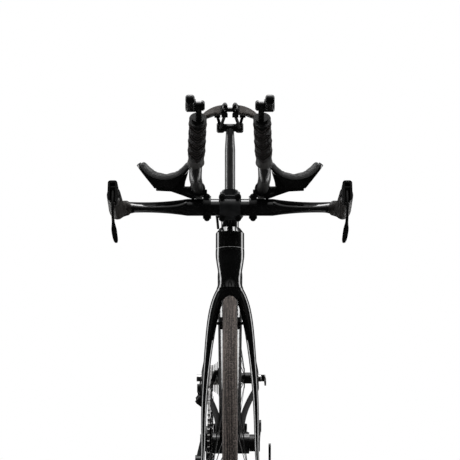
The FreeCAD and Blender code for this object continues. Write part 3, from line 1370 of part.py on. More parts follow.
def bolt(head, direction, length):
    """Socket-head bolt with its head's underside at a point."""
    top = head - direction * BOLT_HEAD_LENGTH
    key = Part.makePolygon([top + hex_corner(direction, index) for index in range(7)])
    socket = Part.Face(key).extrude(direction * HEX_KEY_DEPTH)
    return union(union(rod(top, head, BOLT_HEAD_RADIUS),
                       rod(head, head + direction * length, BOLT_RADIUS)).cut(socket))


def hex_corner(direction, index):
    """Corner of a hexagonal key about a direction."""
    across = unit(direction.cross(SIDE)) if abs(direction.x) < QUARTER_WEIGHT else BACK
    other = direction.cross(across)
    angle = index * math.pi / 3
    return across * (HEX_KEY_RADIUS * math.cos(angle)) + other * (HEX_KEY_RADIUS * math.sin(angle))


def faceplate_bolts():
    """Head positions of the four faceplate bolts."""
    front = BAR - BACK * FACEPLATE_EAR_DEPTH
    return [front + SIDE * (x * FACEPLATE_BOLT_X) + UP * (z * FACEPLATE_BOLT_Z) for x in (-1,
            1) for z in (-1, 1)]


def stem_bolts():
    """Head positions of the two bolts that close the stem on the steerer."""
    aft = -STEM_CLAMP_RADIUS - STEM_BARREL_RADIUS / 2
    half = STEM_CLAMP_HEIGHT / 4
    return [on_steerer(STEM_MIDDLE + sign * half, aft, STEM_BARREL_HALF) for sign in (-1, 1)]


def ring_bolts():
    """Head positions of the bolts on the left bar clamp."""
    front = BAR - BACK * CLAMP_EAR_LENGTH + SIDE * CLAMP_RING_X
    return [front + UP * (sign * CLAMP_BOLT_OVER) for sign in (-1, 1)]


def make_cockpit_bolts():
    """Bolts of the faceplate, the stem clamp and the bar clamps."""
    inward = SIDE * -1.0
    bolts = [bolt(head, BACK, BOLT_LENGTH) for head in faceplate_bolts()]
    bolts += [bolt(head, inward, 2 * STEM_BARREL_HALF - SEAT_GAP) for head in stem_bolts()]
    clamps = [bolt(head, BACK, 2 * CLAMP_EAR_LENGTH - SEAT_GAP) for head in ring_bolts()]
    bolts += clamps + [mirrored(each) for each in clamps]
    return Part.makeCompound(bolts)


def bolt_holes(heads, direction, length):
    """Clearance holes for bolts."""
    return [rod(head, head + direction * length, BOLT_RADIUS + RUNNING_FIT) for head in heads]


def head_room(heads):
    """Room in front of clamp faces for the heads of bolts."""
    return [rod(head, head - BACK * (2 * BOLT_HEAD_LENGTH),
                BOLT_HEAD_RADIUS + SEAT_GAP) for head in heads]


def bar_clamp_body():
    """Barrel round the base bar with four bolt bosses, before it is split."""
    barrel = rod(BAR - SIDE * FACEPLATE_HALF, BAR + SIDE * FACEPLATE_HALF, BAR_CLAMP_OUTER)
    bosses = [rod(head, head + BACK * (2 * FACEPLATE_EAR_DEPTH),
                  FACEPLATE_EAR) for head in faceplate_bolts()]
    web = block(BAR, 2 * FACEPLATE_BOLT_X, 2 * FACEPLATE_EAR_DEPTH,
                2 * (FACEPLATE_BOLT_Z + FACEPLATE_EAR / 2))
    return union(barrel, web, *bosses)


def clamp_half(sign):
    """Front (-1) or rear (1) half of the split bar clamp, bored for the bar and the bolts."""
    reach = 4 * BAR_CLAMP_OUTER
    room = block(BAR + BACK * (sign * (FACEPLATE_GAP + reach) / 2), reach, reach, reach)
    bore = rod(BAR - SIDE * reach, BAR + SIDE * reach, BAR_CLAMP_RADIUS + RUNNING_FIT)
    holes = bolt_holes(faceplate_bolts(), BACK, BOLT_LENGTH + SEAT_GAP)
    return union(bar_clamp_body().common(room).cut([bore] + holes + head_room(faceplate_bolts())))


def make_stem():
    """Stem between the steerer and the base bar, and its top cap."""
    clamp = rod(on_steerer(SPACER_TOP), on_steerer(STEERER_TOP), STEM_CLAMP_RADIUS)
    barrels = [rod(head, head - SIDE * (2 * STEM_BARREL_HALF),
                   STEM_BARREL_RADIUS) for head in stem_bolts()]
    body = loft([
        oval(STEM_AXIS, SIDE, UP, STEM_BODY_HALF, STEM_BODY_HALF, STEM_BODY_HALF),
        oval(BAR + BACK * BAR_CLAMP_RADIUS, SIDE, UP, FACEPLATE_BOLT_X + BOLT_RADIUS, BAR_CLAMP_RADIUS,
             BAR_CLAMP_RADIUS),
    ])
    reach = 4 * BAR_CLAMP_OUTER
    slit = block(on_steerer(STEM_MIDDLE, -STEM_CLAMP_RADIUS - STEM_BARREL_RADIUS), FACEPLATE_GAP,
                 2 * STEM_CLAMP_RADIUS, 2 * STEM_CLAMP_HEIGHT)
    cuts = [
        rod(on_steerer(CROWN_HEIGHT), on_steerer(STEERER_TOP + reach), STEERER_RADIUS + RUNNING_FIT),
        rod(BAR - SIDE * reach, BAR + SIDE * reach, BAR_CLAMP_RADIUS + RUNNING_FIT),
        slit,
    ]
    cuts += bolt_holes(stem_bolts(), SIDE * -1.0, 2 * STEM_BARREL_HALF)
    stem = union(union(clamp, body, clamp_half(1), *barrels).cut(cuts))
    cap = rod(on_steerer(STEERER_TOP + SEAT_GAP), on_steerer(STEERER_TOP + SEAT_GAP + TOP_CAP_THICKNESS),
              TOP_CAP_RADIUS)
    return Part.makeCompound([stem, cap])


def make_faceplate():
    """Front half of the bar clamp."""
    return clamp_half(-1)


ELBOW_RADIUS = HORN_X - WING_END
HORN_SLOPE = math.atan2(HORN_TIP_RISE + HORN_DROP, HORN_REACH - HORN_SWEEP)
HORN_AHEAD = Vector(0, -math.cos(HORN_SLOPE), math.sin(HORN_SLOPE))
HORN_UP = Vector(0, math.sin(HORN_SLOPE), math.cos(HORN_SLOPE))
HORN_TIP = BAR + SIDE * HORN_X - BACK * HORN_REACH + UP * HORN_TIP_RISE
RISE_RADIUS = (HORN_SWEEP - ELBOW_RADIUS) / math.tan(HORN_SLOPE / 2)


def elbow_section(share, growth):
    """Section of the left bar on its way round the elbow, from the wing to the horn."""
    angle = share * math.pi / 2
    chord = BACK * math.cos(angle) + SIDE * math.sin(angle)
    ahead = ELBOW_RADIUS * (1.0 - math.cos(angle))
    outward = WING_END + ELBOW_RADIUS * math.sin(angle)
    centre = BAR + SIDE * outward - BACK * ahead - UP * (HORN_DROP * share)
    half = blend(WING_END_CHORD_HALF, HORN_HALF, share) + growth
    height_half = blend(WING_END_HEIGHT_HALF, HORN_HEIGHT_HALF, share) + growth
    return oval(centre, chord, UP, half, height_half, height_half)


def rise_section(share, growth):
    """Section of the left horn where it bends upward."""
    angle = share * HORN_SLOPE
    ahead = ELBOW_RADIUS + RISE_RADIUS * math.sin(angle)
    rise = RISE_RADIUS * (1.0 - math.cos(angle)) - HORN_DROP
    centre = BAR + SIDE * HORN_X - BACK * ahead + UP * rise
    upward = Vector(0, math.sin(angle), math.cos(angle))
    return oval(centre, SIDE, upward, HORN_HALF + growth, HORN_HEIGHT_HALF + growth,
                HORN_HEIGHT_HALF + growth)


def horn_sections(growth=0.0, first_step=0):
    """Sections of the left horn round the elbow, up the rise and to the tip, grown for the grip."""
    sections = [elbow_section(step / ELBOW_STEPS, growth) for step in range(first_step, ELBOW_STEPS + 1)]
    sections += [rise_section(step / RISE_STEPS, growth) for step in range(1, RISE_STEPS + 1)]
    tip_height = HORN_TIP_HEIGHT_HALF + growth
    return sections + [oval(HORN_TIP, SIDE, HORN_UP, HORN_TIP_HALF + growth, tip_height, tip_height)]


def make_base_bar():
    """Base bar: round centre, flat wings and forward horns."""
    wing = loft([
        oval(BAR + SIDE * BAR_ROUND_HALF, BACK, UP, BAR_CLAMP_RADIUS, BAR_CLAMP_RADIUS, BAR_CLAMP_RADIUS),
        oval(BAR + SIDE * WING_START, BACK, UP, WING_CHORD_HALF, WING_HEIGHT_HALF, WING_HEIGHT_HALF),
        elbow_section(0.0, 0.0),
    ])
    half = [wing, loft(horn_sections(), True)]
    centre = rod(BAR - SIDE * BAR_ROUND_HALF, BAR + SIDE * BAR_ROUND_HALF, BAR_CLAMP_RADIUS)
    return union(centre, *half, *[mirrored(piece) for piece in half])


def make_horn_grips(bar):
    """Rubber sleeves on the horns."""
    return pair(union(loft(horn_sections(GRIP_WALL, GRIP_FIRST_STEP), True).cut(bar)))


LEVER_PIVOT = HORN_TIP + HORN_AHEAD * LEVER_PIVOT_FORE + HORN_UP * LEVER_PIVOT_RISE


def make_lever_bodies():
    """Brake lever bodies in the horn ends, each a clevis for its lever."""
    start = HORN_TIP + HORN_AHEAD * SEAT_GAP
    end = HORN_TIP + HORN_AHEAD * LEVER_BODY_NECK
    neck = loft([
        oval(start, SIDE, HORN_UP, HORN_TIP_HALF + GRIP_WALL, HORN_TIP_HEIGHT_HALF + GRIP_WALL,
             HORN_TIP_HEIGHT_HALF + GRIP_WALL),
        oval(end, SIDE, HORN_UP, LEVER_BODY_HALF, HORN_TIP_HEIGHT_HALF, HORN_TIP_HEIGHT_HALF),
    ])
    block_start = LEVER_BODY_NECK - LEVER_BODY_ROUND
    block_length = LEVER_BODY_LENGTH - block_start
    middle = HORN_TIP + HORN_AHEAD * (block_start + block_length / 2) - HORN_UP * LEVER_BODY_SHIFT
    case = slab(middle, SIDE, 2 * LEVER_BODY_HALF, HORN_AHEAD, block_length, HORN_UP,
                2 * LEVER_BODY_HEIGHT_HALF)
    long_edges = [edge for edge in case.Edges if abs(edge.Length - block_length) < SEAT_GAP]
    body = union(neck, case.makeFillet(LEVER_BODY_ROUND, long_edges))
    room = 2 * (LEVER_BOSS_RADIUS + BODY_GAP)
    slot_width = 2 * (LEVER_SLOT_HALF + SEAT_GAP)
    slot = slab(LEVER_PIVOT, SIDE, slot_width, HORN_AHEAD, room, HORN_UP, room)
    mouth = slab(LEVER_PIVOT + HORN_AHEAD * room - HORN_UP * room, SIDE, slot_width, HORN_AHEAD, 3 * room,
                 HORN_UP, 3 * room)
    pin = rod(LEVER_PIVOT - SIDE * LEVER_BODY_HALF * 2, LEVER_PIVOT + SIDE * LEVER_BODY_HALF * 2,
              LEVER_PIN_RADIUS + RUNNING_FIT)
    swing = mouth.copy()
    swing.rotate(LEVER_PIVOT, SIDE, LEVER_PULL / 2)
    return pair(union(body.cut([slot, mouth, swing, pin])))


def slab(centre, first, first_size, second, second_size, third, third_size):
    """Box about a centre along three square directions."""
    corner = centre - first * (first_size / 2) - second * (second_size / 2) - third * (third_size / 2)
    outline = [corner, corner + first * first_size, corner + first * first_size + second * second_size,
               corner + second * second_size, corner]
    return Part.Face(Part.makePolygon(outline)).extrude(third * third_size)


def lever_half(share):
    """Half width of the brake lever: a root, a slim neck, then a paddle with a rounded end."""
    if share < LEVER_NECK_SHARE:
        return blend(LEVER_ROOT_HALF, LEVER_NECK_HALF, share / LEVER_NECK_SHARE)
    ramp = min(max((share - LEVER_PADDLE_SHARE) / LEVER_PADDLE_RAMP, 0.0), 1.0)
    width = blend(LEVER_NECK_HALF, LEVER_PADDLE_HALF, ramp * ramp * (3 - 2 * ramp))
    return width * math.sqrt(1 - LEVER_END_TAPER * share ** LEVER_END_POWER)


def make_brake_lever():
    """Left brake lever: boss, slim neck and a wider finger paddle that bows forward."""
    boss = rod(LEVER_PIVOT - SIDE * LEVER_SLOT_HALF, LEVER_PIVOT + SIDE * LEVER_SLOT_HALF,
               LEVER_BOSS_RADIUS)
    reach = SIDE * (LEVER_BODY_HALF - SEAT_GAP)
    pin = rod(LEVER_PIVOT - reach, LEVER_PIVOT + reach, LEVER_PIN_RADIUS)
    sections = []
    for step in range(LEVER_STEPS + 1):
        share = step / LEVER_STEPS
        bow = 4 * LEVER_BOW * share * (1 - share)
        centre = LEVER_PIVOT - BACK * bow - UP * (LEVER_DROP * share) - SIDE * (LEVER_TIP_INSET * share ** 2)
        sections.append(oval(centre, SIDE, BACK, lever_half(share), LEVER_THICKNESS_HALF,
                             LEVER_THICKNESS_HALF))
    return union(boss, pin, loft(sections, True))


CLAMP_POINT = BAR + SIDE * EXTENSION_X + UP * EXTENSION_HEIGHT_OVER_BAR
TILT = math.radians(EXTENSION_TILT)
RISE = math.radians(EXTENSION_RISE)
EXTENSION_AHEAD = Vector(0, -math.cos(TILT), math.sin(TILT))
BEND_POINT = CLAMP_POINT + EXTENSION_AHEAD * EXTENSION_STRAIGHT
EXTENSION_TIP = BEND_POINT + Vector(EXTENSION_TIP_X - EXTENSION_X, -math.cos(RISE) * EXTENSION_TIP_LENGTH,
                                    math.sin(RISE) * EXTENSION_TIP_LENGTH)
EXTENSION_END = CLAMP_POINT - EXTENSION_AHEAD * EXTENSION_TAIL
GRIP_AHEAD = unit(EXTENSION_TIP - BEND_POINT)


def make_extensions():
    """Bent aero extension tubes."""
    route = [EXTENSION_END, BEND_POINT, EXTENSION_TIP]
    outer = pipe(route, EXTENSION_RADIUS, EXTENSION_BEND_RADIUS)[0]
    longer = [EXTENSION_END - EXTENSION_AHEAD, BEND_POINT, EXTENSION_TIP + GRIP_AHEAD]
    inner = pipe(longer, EXTENSION_RADIUS - EXTENSION_WALL, EXTENSION_BEND_RADIUS)[0]
    return pair(union(outer.cut(inner)))


def make_extension_grips():
    """Rubber grips with finger scallops near the extension tips."""
    start = EXTENSION_TIP - GRIP_AHEAD * EXTENSION_GRIP_LENGTH
    across = unit(SIDE - GRIP_AHEAD * SIDE.dot(GRIP_AHEAD))
    step = EXTENSION_GRIP_LENGTH / GRIP_SCALLOPS

    def at(along, radius):
        return start + GRIP_AHEAD * along + across * radius

    bore = EXTENSION_RADIUS + RUNNING_FIT
    edges = [line(at(0.0, bore), at(0.0, EXTENSION_GRIP_RADIUS))]
    for index in range(GRIP_SCALLOPS):
        low = index * step
        edges.append(arc(at(low, EXTENSION_GRIP_RADIUS),
                         at(low + step / 2, EXTENSION_GRIP_RADIUS - GRIP_SCALLOP_DEPTH),
                         at(low + step, EXTENSION_GRIP_RADIUS)))
    edges.append(line(at(EXTENSION_GRIP_LENGTH, EXTENSION_GRIP_RADIUS), at(EXTENSION_GRIP_LENGTH, bore)))
    edges.append(line(at(EXTENSION_GRIP_LENGTH, bore), at(0.0, bore)))
    return pair(Part.Face(Part.Wire(edges)).revolve(start, GRIP_AHEAD, FULL_TURN))


ARMREST = BAR + SIDE * ARMREST_X + BACK * (ARMREST_LENGTH / 2 - ARMREST_FRONT)
CUP_REACH = CUP_HALF - CUP_LIP
CUP_RADIUS = (CUP_REACH ** 2 + CUP_DEPTH ** 2) / (2 * CUP_DEPTH)
CUP_ANGLE = math.asin(CUP_REACH / CUP_RADIUS)


def armrest_point(x, height):
    """Point on the front face of the left armrest."""
    return Vector(ARMREST.x + x, ARMREST.y - ARMREST_LENGTH / 2, ARMREST_BOTTOM + height)


def trough_point(radius, angle):
    """Point about the axis of the armrest's trough."""
    return armrest_point(radius * math.sin(angle), CUP_FLOOR + CUP_RADIUS - radius * math.cos(angle))


def planform(inset):
    """Upright prism with rounded corners that trims the armrest seen from above."""
    box = block(Vector(ARMREST.x, ARMREST.y, ARMREST_BOTTOM), 2 * (CUP_HALF - inset),
                ARMREST_LENGTH - 2 * inset, ARMREST_BOTTOM)
    upright = [edge for edge in box.Edges if abs(edge.Vertexes[0].Z - edge.Vertexes[1].Z) > CUP_CORNER]
    return box.makeFillet(CUP_CORNER - inset, upright)


def make_armrest_cups():
    """Moulded cups with a flat base, slanted sides and a round trough."""
    top = CUP_FLOOR + CUP_DEPTH
    corners = [armrest_point(-CUP_REACH, top), armrest_point(-CUP_HALF, top - CUP_LIP),
               armrest_point(-CUP_FLAT_HALF, 0.0),
               armrest_point(CUP_FLAT_HALF, 0.0), armrest_point(CUP_HALF, top - CUP_LIP),
               armrest_point(CUP_REACH, top)]
    edges = [line(*run) for run in zip(corners, corners[1:])]
    edges.append(arc(corners[-1], armrest_point(0.0, CUP_FLOOR), corners[0]))
    solid = Part.Face(Part.Wire(edges)).extrude(BACK * ARMREST_LENGTH)
    return pair(union(solid.common(planform(0.0))))


def make_armrest_pads():
    """Padded trough linings with rounded ends."""
    low = CUP_RADIUS - SEAT_GAP
    high = CUP_RADIUS - PAD_THICKNESS
    side = CUP_ANGLE - PAD_EDGE / CUP_RADIUS
    edges = [
        arc(trough_point(low, -side), trough_point(low, 0.0), trough_point(low, side)),
        arc(trough_point(low, side), trough_point((low + high) / 2, CUP_ANGLE), trough_point(high, side)),
        arc(trough_point(high, side), trough_point(high, 0.0), trough_point(high, -side)),
        arc(trough_point(high, -side), trough_point((low + high) / 2, -CUP_ANGLE),
            trough_point(low, -side)),
    ]
    solid = Part.Face(Part.Wire(edges)).extrude(BACK * ARMREST_LENGTH)
    return pair(union(solid.common(planform(PAD_INSET))))


def make_bar_clamps():
    """Clamps that hold the extensions on the base bar and carry the armrests on curved arms."""
    half = SIDE * (CLAMP_RING_WIDTH / 2)
    middle = BAR + SIDE * CLAMP_RING_X
    hoop = rod(middle - half, middle + half, BAR_CLAMP_RADIUS + CLAMP_RING_WALL)
    bosses = [rod(head, head + BACK * (2 * CLAMP_EAR_LENGTH), CLAMP_BOSS_RADIUS) for head in ring_bolts()]
    web_x = (CLAMP_RING_X + EXTENSION_X) / 2
    web_rise = EXTENSION_HEIGHT_OVER_BAR - EXTENSION_RADIUS / 2
    web = block(BAR + SIDE * web_x + UP * web_rise, EXTENSION_X - CLAMP_RING_X, CLAMP_RING_WIDTH,
                EXTENSION_RADIUS)
    reach = EXTENSION_AHEAD * (TUBE_CLAMP_LENGTH / 2)
    sleeve = rod(CLAMP_POINT - reach, CLAMP_POINT + reach, EXTENSION_RADIUS + TUBE_CLAMP_WALL)
    platform_z = ARMREST_BOTTOM - SEAT_GAP - PLATFORM_THICKNESS / 2
    platform = block(Vector(ARMREST.x, BAR.y + ARM_SETBACK, platform_z), 2 * PLATFORM_HALF, ARM_DEPTH,
                     PLATFORM_THICKNESS)
    inner = Vector(CLAMP_POINT.x + TUBE_CLAMP_WALL, BAR.y, CLAMP_POINT.z - EXTENSION_RADIUS)
    outer = Vector(ARMREST.x - PLATFORM_HALF + TUBE_CLAMP_WALL, BAR.y + ARM_SETBACK, platform_z)
    arm = loft([
        oval(inner, BACK, UP, TUBE_CLAMP_LENGTH / 2, ARM_HEIGHT / 2, ARM_HEIGHT / 2),
        oval(outer, BACK, UP, ARM_DEPTH / 2, PLATFORM_THICKNESS / 2, PLATFORM_THICKNESS / 2),
    ])
    cuts = [
        rod(ORIGIN + BAR, BAR + SIDE * ARMREST_X, BAR_CLAMP_RADIUS + RUNNING_FIT),
        rod(CLAMP_POINT - reach * 4, CLAMP_POINT + reach * 4, EXTENSION_RADIUS + RUNNING_FIT),
    ]
    cuts += bolt_holes(ring_bolts(), BACK, 2 * CLAMP_EAR_LENGTH) + head_room(ring_bolts())
    return pair(union(union(hoop, web, sleeve, platform, arm, *bosses).cut(cuts)))


SHIFT_PIVOT = EXTENSION_TIP + GRIP_AHEAD * SHIFTER_REACH


def make_shifter_bodies():
    """Bar-end shifter bodies: a plug, a collar and a tongue for the lever."""
    face = EXTENSION_TIP + GRIP_AHEAD * SEAT_GAP
    collar = rod(face, EXTENSION_TIP + GRIP_AHEAD * SHIFTER_COLLAR_LENGTH, SHIFTER_COLLAR_RADIUS)
    plug = rod(face - GRIP_AHEAD * SHIFTER_PLUG_LENGTH, face,
               EXTENSION_RADIUS - EXTENSION_WALL - RUNNING_FIT)
    end = SHIFT_PIVOT - SIDE * SHIFTER_TONGUE_HALF
    root = end - unit(Vector(0, GRIP_AHEAD.y, GRIP_AHEAD.z)) * SHIFTER_REACH
    tongue = strap(root, SHIFTER_TONGUE_RADIUS, end, SHIFTER_TONGUE_RADIUS, SIDE, 2 * SHIFTER_TONGUE_HALF)
    room = rod(EXTENSION_TIP - GRIP_AHEAD * SHIFTER_PLUG_LENGTH, EXTENSION_TIP, EXTENSION_RADIUS * 2)
    reach = SIDE * SHIFTER_TONGUE_RADIUS
    hole = rod(SHIFT_PIVOT - reach, SHIFT_PIVOT + reach, SHIFTER_PIN_RADIUS + RUNNING_FIT)
    return pair(union(union(collar, plug, union(tongue.cut(room))).cut(hole)))


def make_shift_lever():
    """Left shift lever: a drum outside the tongue, its pin and cap, and a paddle that points forward."""
    near = SHIFTER_TONGUE_HALF + SEAT_GAP
    far = near + SHIFTER_DRUM_WIDTH
    cap = -near - SHIFTER_CAP_WIDTH
    drum = spun([(near, 0.0), (near, SHIFTER_DRUM_RADIUS), (far - SHIFTER_CHAMFER, SHIFTER_DRUM_RADIUS),
                 (far, SHIFTER_DRUM_RADIUS - SHIFTER_CHAMFER), (far, 0.0)], SHIFT_PIVOT)
    head = spun([(cap, 0.0), (cap, SHIFTER_CAP_RADIUS - SHIFTER_CHAMFER),
                 (cap + SHIFTER_CHAMFER, SHIFTER_CAP_RADIUS),
                 (-near, SHIFTER_CAP_RADIUS), (-near, 0.0)], SHIFT_PIVOT)
    pin = rod(SHIFT_PIVOT - SIDE * near, SHIFT_PIVOT + SIDE * near, SHIFTER_PIN_RADIUS)
    lean = math.radians(SHIFT_PADDLE_ANGLE)
    forward = Vector(0, -math.cos(lean), math.sin(lean))
    start = SHIFT_PIVOT + SIDE * (near + SHIFTER_DRUM_WIDTH / 2 - SHIFT_PADDLE_THICKNESS / 2)
    paddle = strap(start, SHIFTER_DRUM_RADIUS - BODY_GAP, start + forward * SHIFT_PADDLE_LENGTH,
                   SHIFT_PADDLE_TIP_RADIUS, SIDE, SHIFT_PADDLE_THICKNESS)
    outline = [edge for edge in paddle.Edges if abs(edge.BoundBox.XLength) < SEAT_GAP]
    return union(drum, head, pin, paddle.makeFillet(SHIFT_PADDLE_ROUND, outline))


# Saddle

SADDLE_Y = on_seat_tube(SEATPOST_TOP).y
CLAMP_CENTRE = Vector(0, SADDLE_Y, SADDLE_CLAMP_HEIGHT)
PAD_MIDDLE = SADDLE_CLAMP_HEIGHT + SADDLE_RISE - SADDLE_PAD_HALF
SHELL_DROP = SADDLE_PAD_HALF * SADDLE_UNDER_SHARE + SADDLE_SHELL_THICKNESS / 2 - SADDLE_SHELL_SINK
RAIL_FRONT_Z = PAD_MIDDLE - SHELL_DROP - SADDLE_SHELL_THICKNESS / 2 - RAIL_RADIUS
RAIL_REAR_FALL = (RAIL_REAR_X - SADDLE_SLOT_HALF) * math.tan(math.radians(SADDLE_DROOP))
RAIL_REAR_Z = RAIL_FRONT_Z + SADDLE_TAIL_LIFT - RAIL_REAR_FALL


def rail_route():
    """Left rail from its front socket, along the clamp, to its rear socket."""
    half = RAIL_SPACING / 2
    return [Vector(RAIL_FRONT_X, SADDLE_Y - RAIL_FRONT_REACH, RAIL_FRONT_Z),
            Vector(half, SADDLE_Y - RAIL_FLAT_HALF, SADDLE_CLAMP_HEIGHT),
            Vector(half, SADDLE_Y + RAIL_FLAT_HALF, SADDLE_CLAMP_HEIGHT),
            Vector(RAIL_REAR_X, SADDLE_Y + RAIL_REAR_REACH, RAIL_REAR_Z)]


def make_saddle_rails():
    """Two round rails."""
    return pair(pipe(rail_route(), RAIL_RADIUS)[0])


def saddle_keys():
    """Distance behind the clamp, half width of a side, share of the thickness, droop and lift, to the tail."""
    return ((-SADDLE_NOSE_REACH, SADDLE_NOSE_HALF * SADDLE_END_SHARE, SADDLE_END_SHARE, 0.0, 0.0),
            (-SADDLE_NOSE_REACH + SADDLE_EDGE_ROUND, SADDLE_NOSE_HALF, 1.0, 0.0, 0.0),
            (-RAIL_FLAT_HALF, SADDLE_MIDDLE_HALF, 1.0, SADDLE_MIDDLE_DROOP, 0.0),
            (SADDLE_TAIL_REACH / 2, SADDLE_TAIL_HALF, 1.0, SADDLE_DROOP, SADDLE_TAIL_LIFT),
            (SADDLE_TAIL_REACH - SADDLE_EDGE_ROUND, SADDLE_TAIL_HALF, 1.0, SADDLE_DROOP,
             SADDLE_TAIL_LIFT),
            (SADDLE_TAIL_REACH, SADDLE_TAIL_HALF * SADDLE_END_SHARE, SADDLE_END_SHARE, SADDLE_DROOP,
             SADDLE_TAIL_LIFT))


def saddle_stations():
    """Key sections of the saddle with eased steps between them."""
    keys = saddle_keys()
    stations = [keys[0]]
    for low, high in zip(keys, keys[1:]):
        steps = SADDLE_STEPS if high[0] - low[0] > 2 * SADDLE_EDGE_ROUND else 1
        for step in range(1, steps + 1):
            share = step / steps
            ease = share * share * (3 - 2 * share)
            eased = [blend(first, last, ease) for first, last in zip(low[1:], high[1:])]
            stations.append((blend(low[0], high[0], share), *eased))
    return stations


def saddle_section(back, half, droop, height, rise, fall):
    """Section of the left side of the saddle, which droops away from the channel."""
    angle = math.radians(droop)
    outward = SIDE * math.cos(angle) - UP * math.sin(angle)
    upward = UP * math.cos(angle) + SIDE * math.sin(angle)
    inner = Vector(SADDLE_SLOT_HALF, SADDLE_Y + back, PAD_MIDDLE + height)
    return oval(inner + outward * max(half, SADDLE_NOSE_HALF), outward, upward, half, rise, fall)


def make_saddle_padding(shell):
    """Crowned padding in two halves with a channel between them."""
    under = SADDLE_PAD_HALF * SADDLE_UNDER_SHARE
    sections = [saddle_section(back, half, droop, lift, SADDLE_PAD_HALF * share, under * share)
                for back, half, share, droop, lift in saddle_stations()]
    return pair(union(loft(sections, True).cut(shell)))


def make_saddle_shell(rails):
    """Stiff shell under the padding: two sides, a bridge behind the channel and sockets for the rails."""
    thin = SADDLE_SHELL_THICKNESS / 2
    left = loft([saddle_section(back, half - thin, droop, lift - SHELL_DROP, thin, thin)
                 for back, half, share, droop, lift in saddle_stations()[1:-1]], True)
    bridge_width = 2 * (SADDLE_SLOT_HALF + SADDLE_NOSE_HALF)
    bridge_length = SADDLE_TAIL_REACH / 2 - SADDLE_EDGE_ROUND
    bridge_middle = SADDLE_Y + SADDLE_TAIL_REACH / 2 + bridge_length / 2
    bridge_centre = Vector(0, bridge_middle, PAD_MIDDLE + SADDLE_TAIL_LIFT - SHELL_DROP)
    bridge = block(bridge_centre, bridge_width, bridge_length, SADDLE_SHELL_THICKNESS)
    front, back = rail_route()[0], rail_route()[-1]
    socket = 4 * RAIL_RADIUS
    bosses = []
    for end in (front, back):
        boss = block(end + UP * (thin / 2), socket, socket, 2 * RAIL_RADIUS + thin)
        bosses += [boss, mirrored(boss)]
    return union(union(left, mirrored(left), bridge, *bosses).cut(rails))


def make_saddle_clamp(rails):
    """Barrel across the seatpost head, with a round jaw on each rail."""
    half = SIDE * (RAIL_SPACING / 2 + CLAMP_EAR_WIDTH / 2)
    inner = SIDE * (RAIL_SPACING / 2 - CLAMP_EAR_WIDTH / 2)
    barrel = rod(CLAMP_CENTRE - half, CLAMP_CENTRE + half, CLAMP_BARREL_RADIUS)
    jaw = rod(CLAMP_CENTRE + inner, CLAMP_CENTRE + half, CLAMP_EAR_RADIUS)
    rims = [edge for edge in jaw.Edges if edge.BoundBox.XLength < SEAT_GAP]
    jaw = jaw.makeFillet(CLAMP_EAR_ROUND, rims)
    return union(union(barrel, jaw, mirrored(jaw)).cut(rails))


def make_seatpost():
    """Seatpost with a seat for the saddle clamp in its head."""
    reach = SIDE * RAIL_SPACING
    return union(seatpost_solid().cut(rod(CLAMP_CENTRE - reach, CLAMP_CENTRE + reach,
                                          CLAMP_BARREL_RADIUS + RUNNING_FIT)))


# Brakes

def make_brake_arm(hub, radial, stud):
    """Left brake arm with its pad."""
    depth = stud * (BRAKE_ARM_THICKNESS / 2)
    pivot = brake_point(hub, radial, BRAKE_PIVOT_X, BRAKE_PIVOT_RADIUS)
    top = brake_point(hub, radial, BRAKE_TOP_X, BRAKE_TOP_RADIUS)
    arm = strap(pivot - depth, BRAKE_ARM_RADIUS, top - depth, BRAKE_ARM_TIP_RADIUS, stud,
                BRAKE_ARM_THICKNESS)
    pad_x = RIM_HALF + BRAKE_PAD_GAP + BRAKE_PAD_THICKNESS / 2
    pad = slab(brake_point(hub, radial, pad_x, BRAKE_PAD_RADIUS), SIDE, BRAKE_PAD_THICKNESS, radial,
               BRAKE_PAD_HEIGHT, stud, BRAKE_PAD_LENGTH)
    share = (BRAKE_PAD_RADIUS - BRAKE_PIVOT_RADIUS) / (BRAKE_TOP_RADIUS - BRAKE_PIVOT_RADIUS)
    post_end = brake_point(hub, radial, blend(BRAKE_PIVOT_X, BRAKE_TOP_X, share), BRAKE_PAD_RADIUS)
    post_start = brake_point(hub, radial, pad_x + BRAKE_PAD_THICKNESS / 2, BRAKE_PAD_RADIUS)
    post = rod(post_start, post_end, BRAKE_POST_RADIUS)
    hole = rod(pivot - depth * 2, pivot + depth * 2, BRAKE_STUD_RADIUS + RUNNING_FIT)
    return Part.makeCompound([union(union(arm, post).cut(hole)), pad])


# Rear derailleur

LINK_AHEAD = BACK * -1.0
SLANT = math.radians(LINK_SLANT)
LINK_ACROSS = Vector(math.cos(SLANT), 0, -math.sin(SLANT))
LINK_AXIS = LINK_AHEAD.cross(LINK_ACROSS)
GUIDE_POINT = flat_point(GUIDE_CENTRE, -CHAINLINE)
TENSION_POINT = flat_point(TENSION_CENTRE, -CHAINLINE)
KNUCKLE_POINT = flat_point(GUIDE_CENTRE, -KNUCKLE_X)
BASE_POINT = KNUCKLE_POINT - LINK_AHEAD * LINK_LENGTH
CAGE_OUTER = SIDE * -(CAGE_GAP + CAGE_PLATE)


def link_pivots(centre):
    """Outer and inner pivot of one end of the parallelogram."""
    return [centre + LINK_ACROSS * (sign * LINK_SPACING / 2) for sign in (-1, 1)]


def make_derailleur_link(index):
    """Parallelogram link between the two knuckles."""
    low = LINK_AXIS * (-LINK_HEIGHT / 2)
    start = link_pivots(BASE_POINT)[index]
    end = link_pivots(KNUCKLE_POINT)[index]
    plate = strap(start + low, LINK_END_RADIUS, end + low, LINK_END_RADIUS, LINK_AXIS, LINK_HEIGHT)
    holes = [rod(point + low * 2, point - low * 2, LINK_PIN_RADIUS + RUNNING_FIT) for point in (start,
            end)]
    return union(plate.cut(holes))


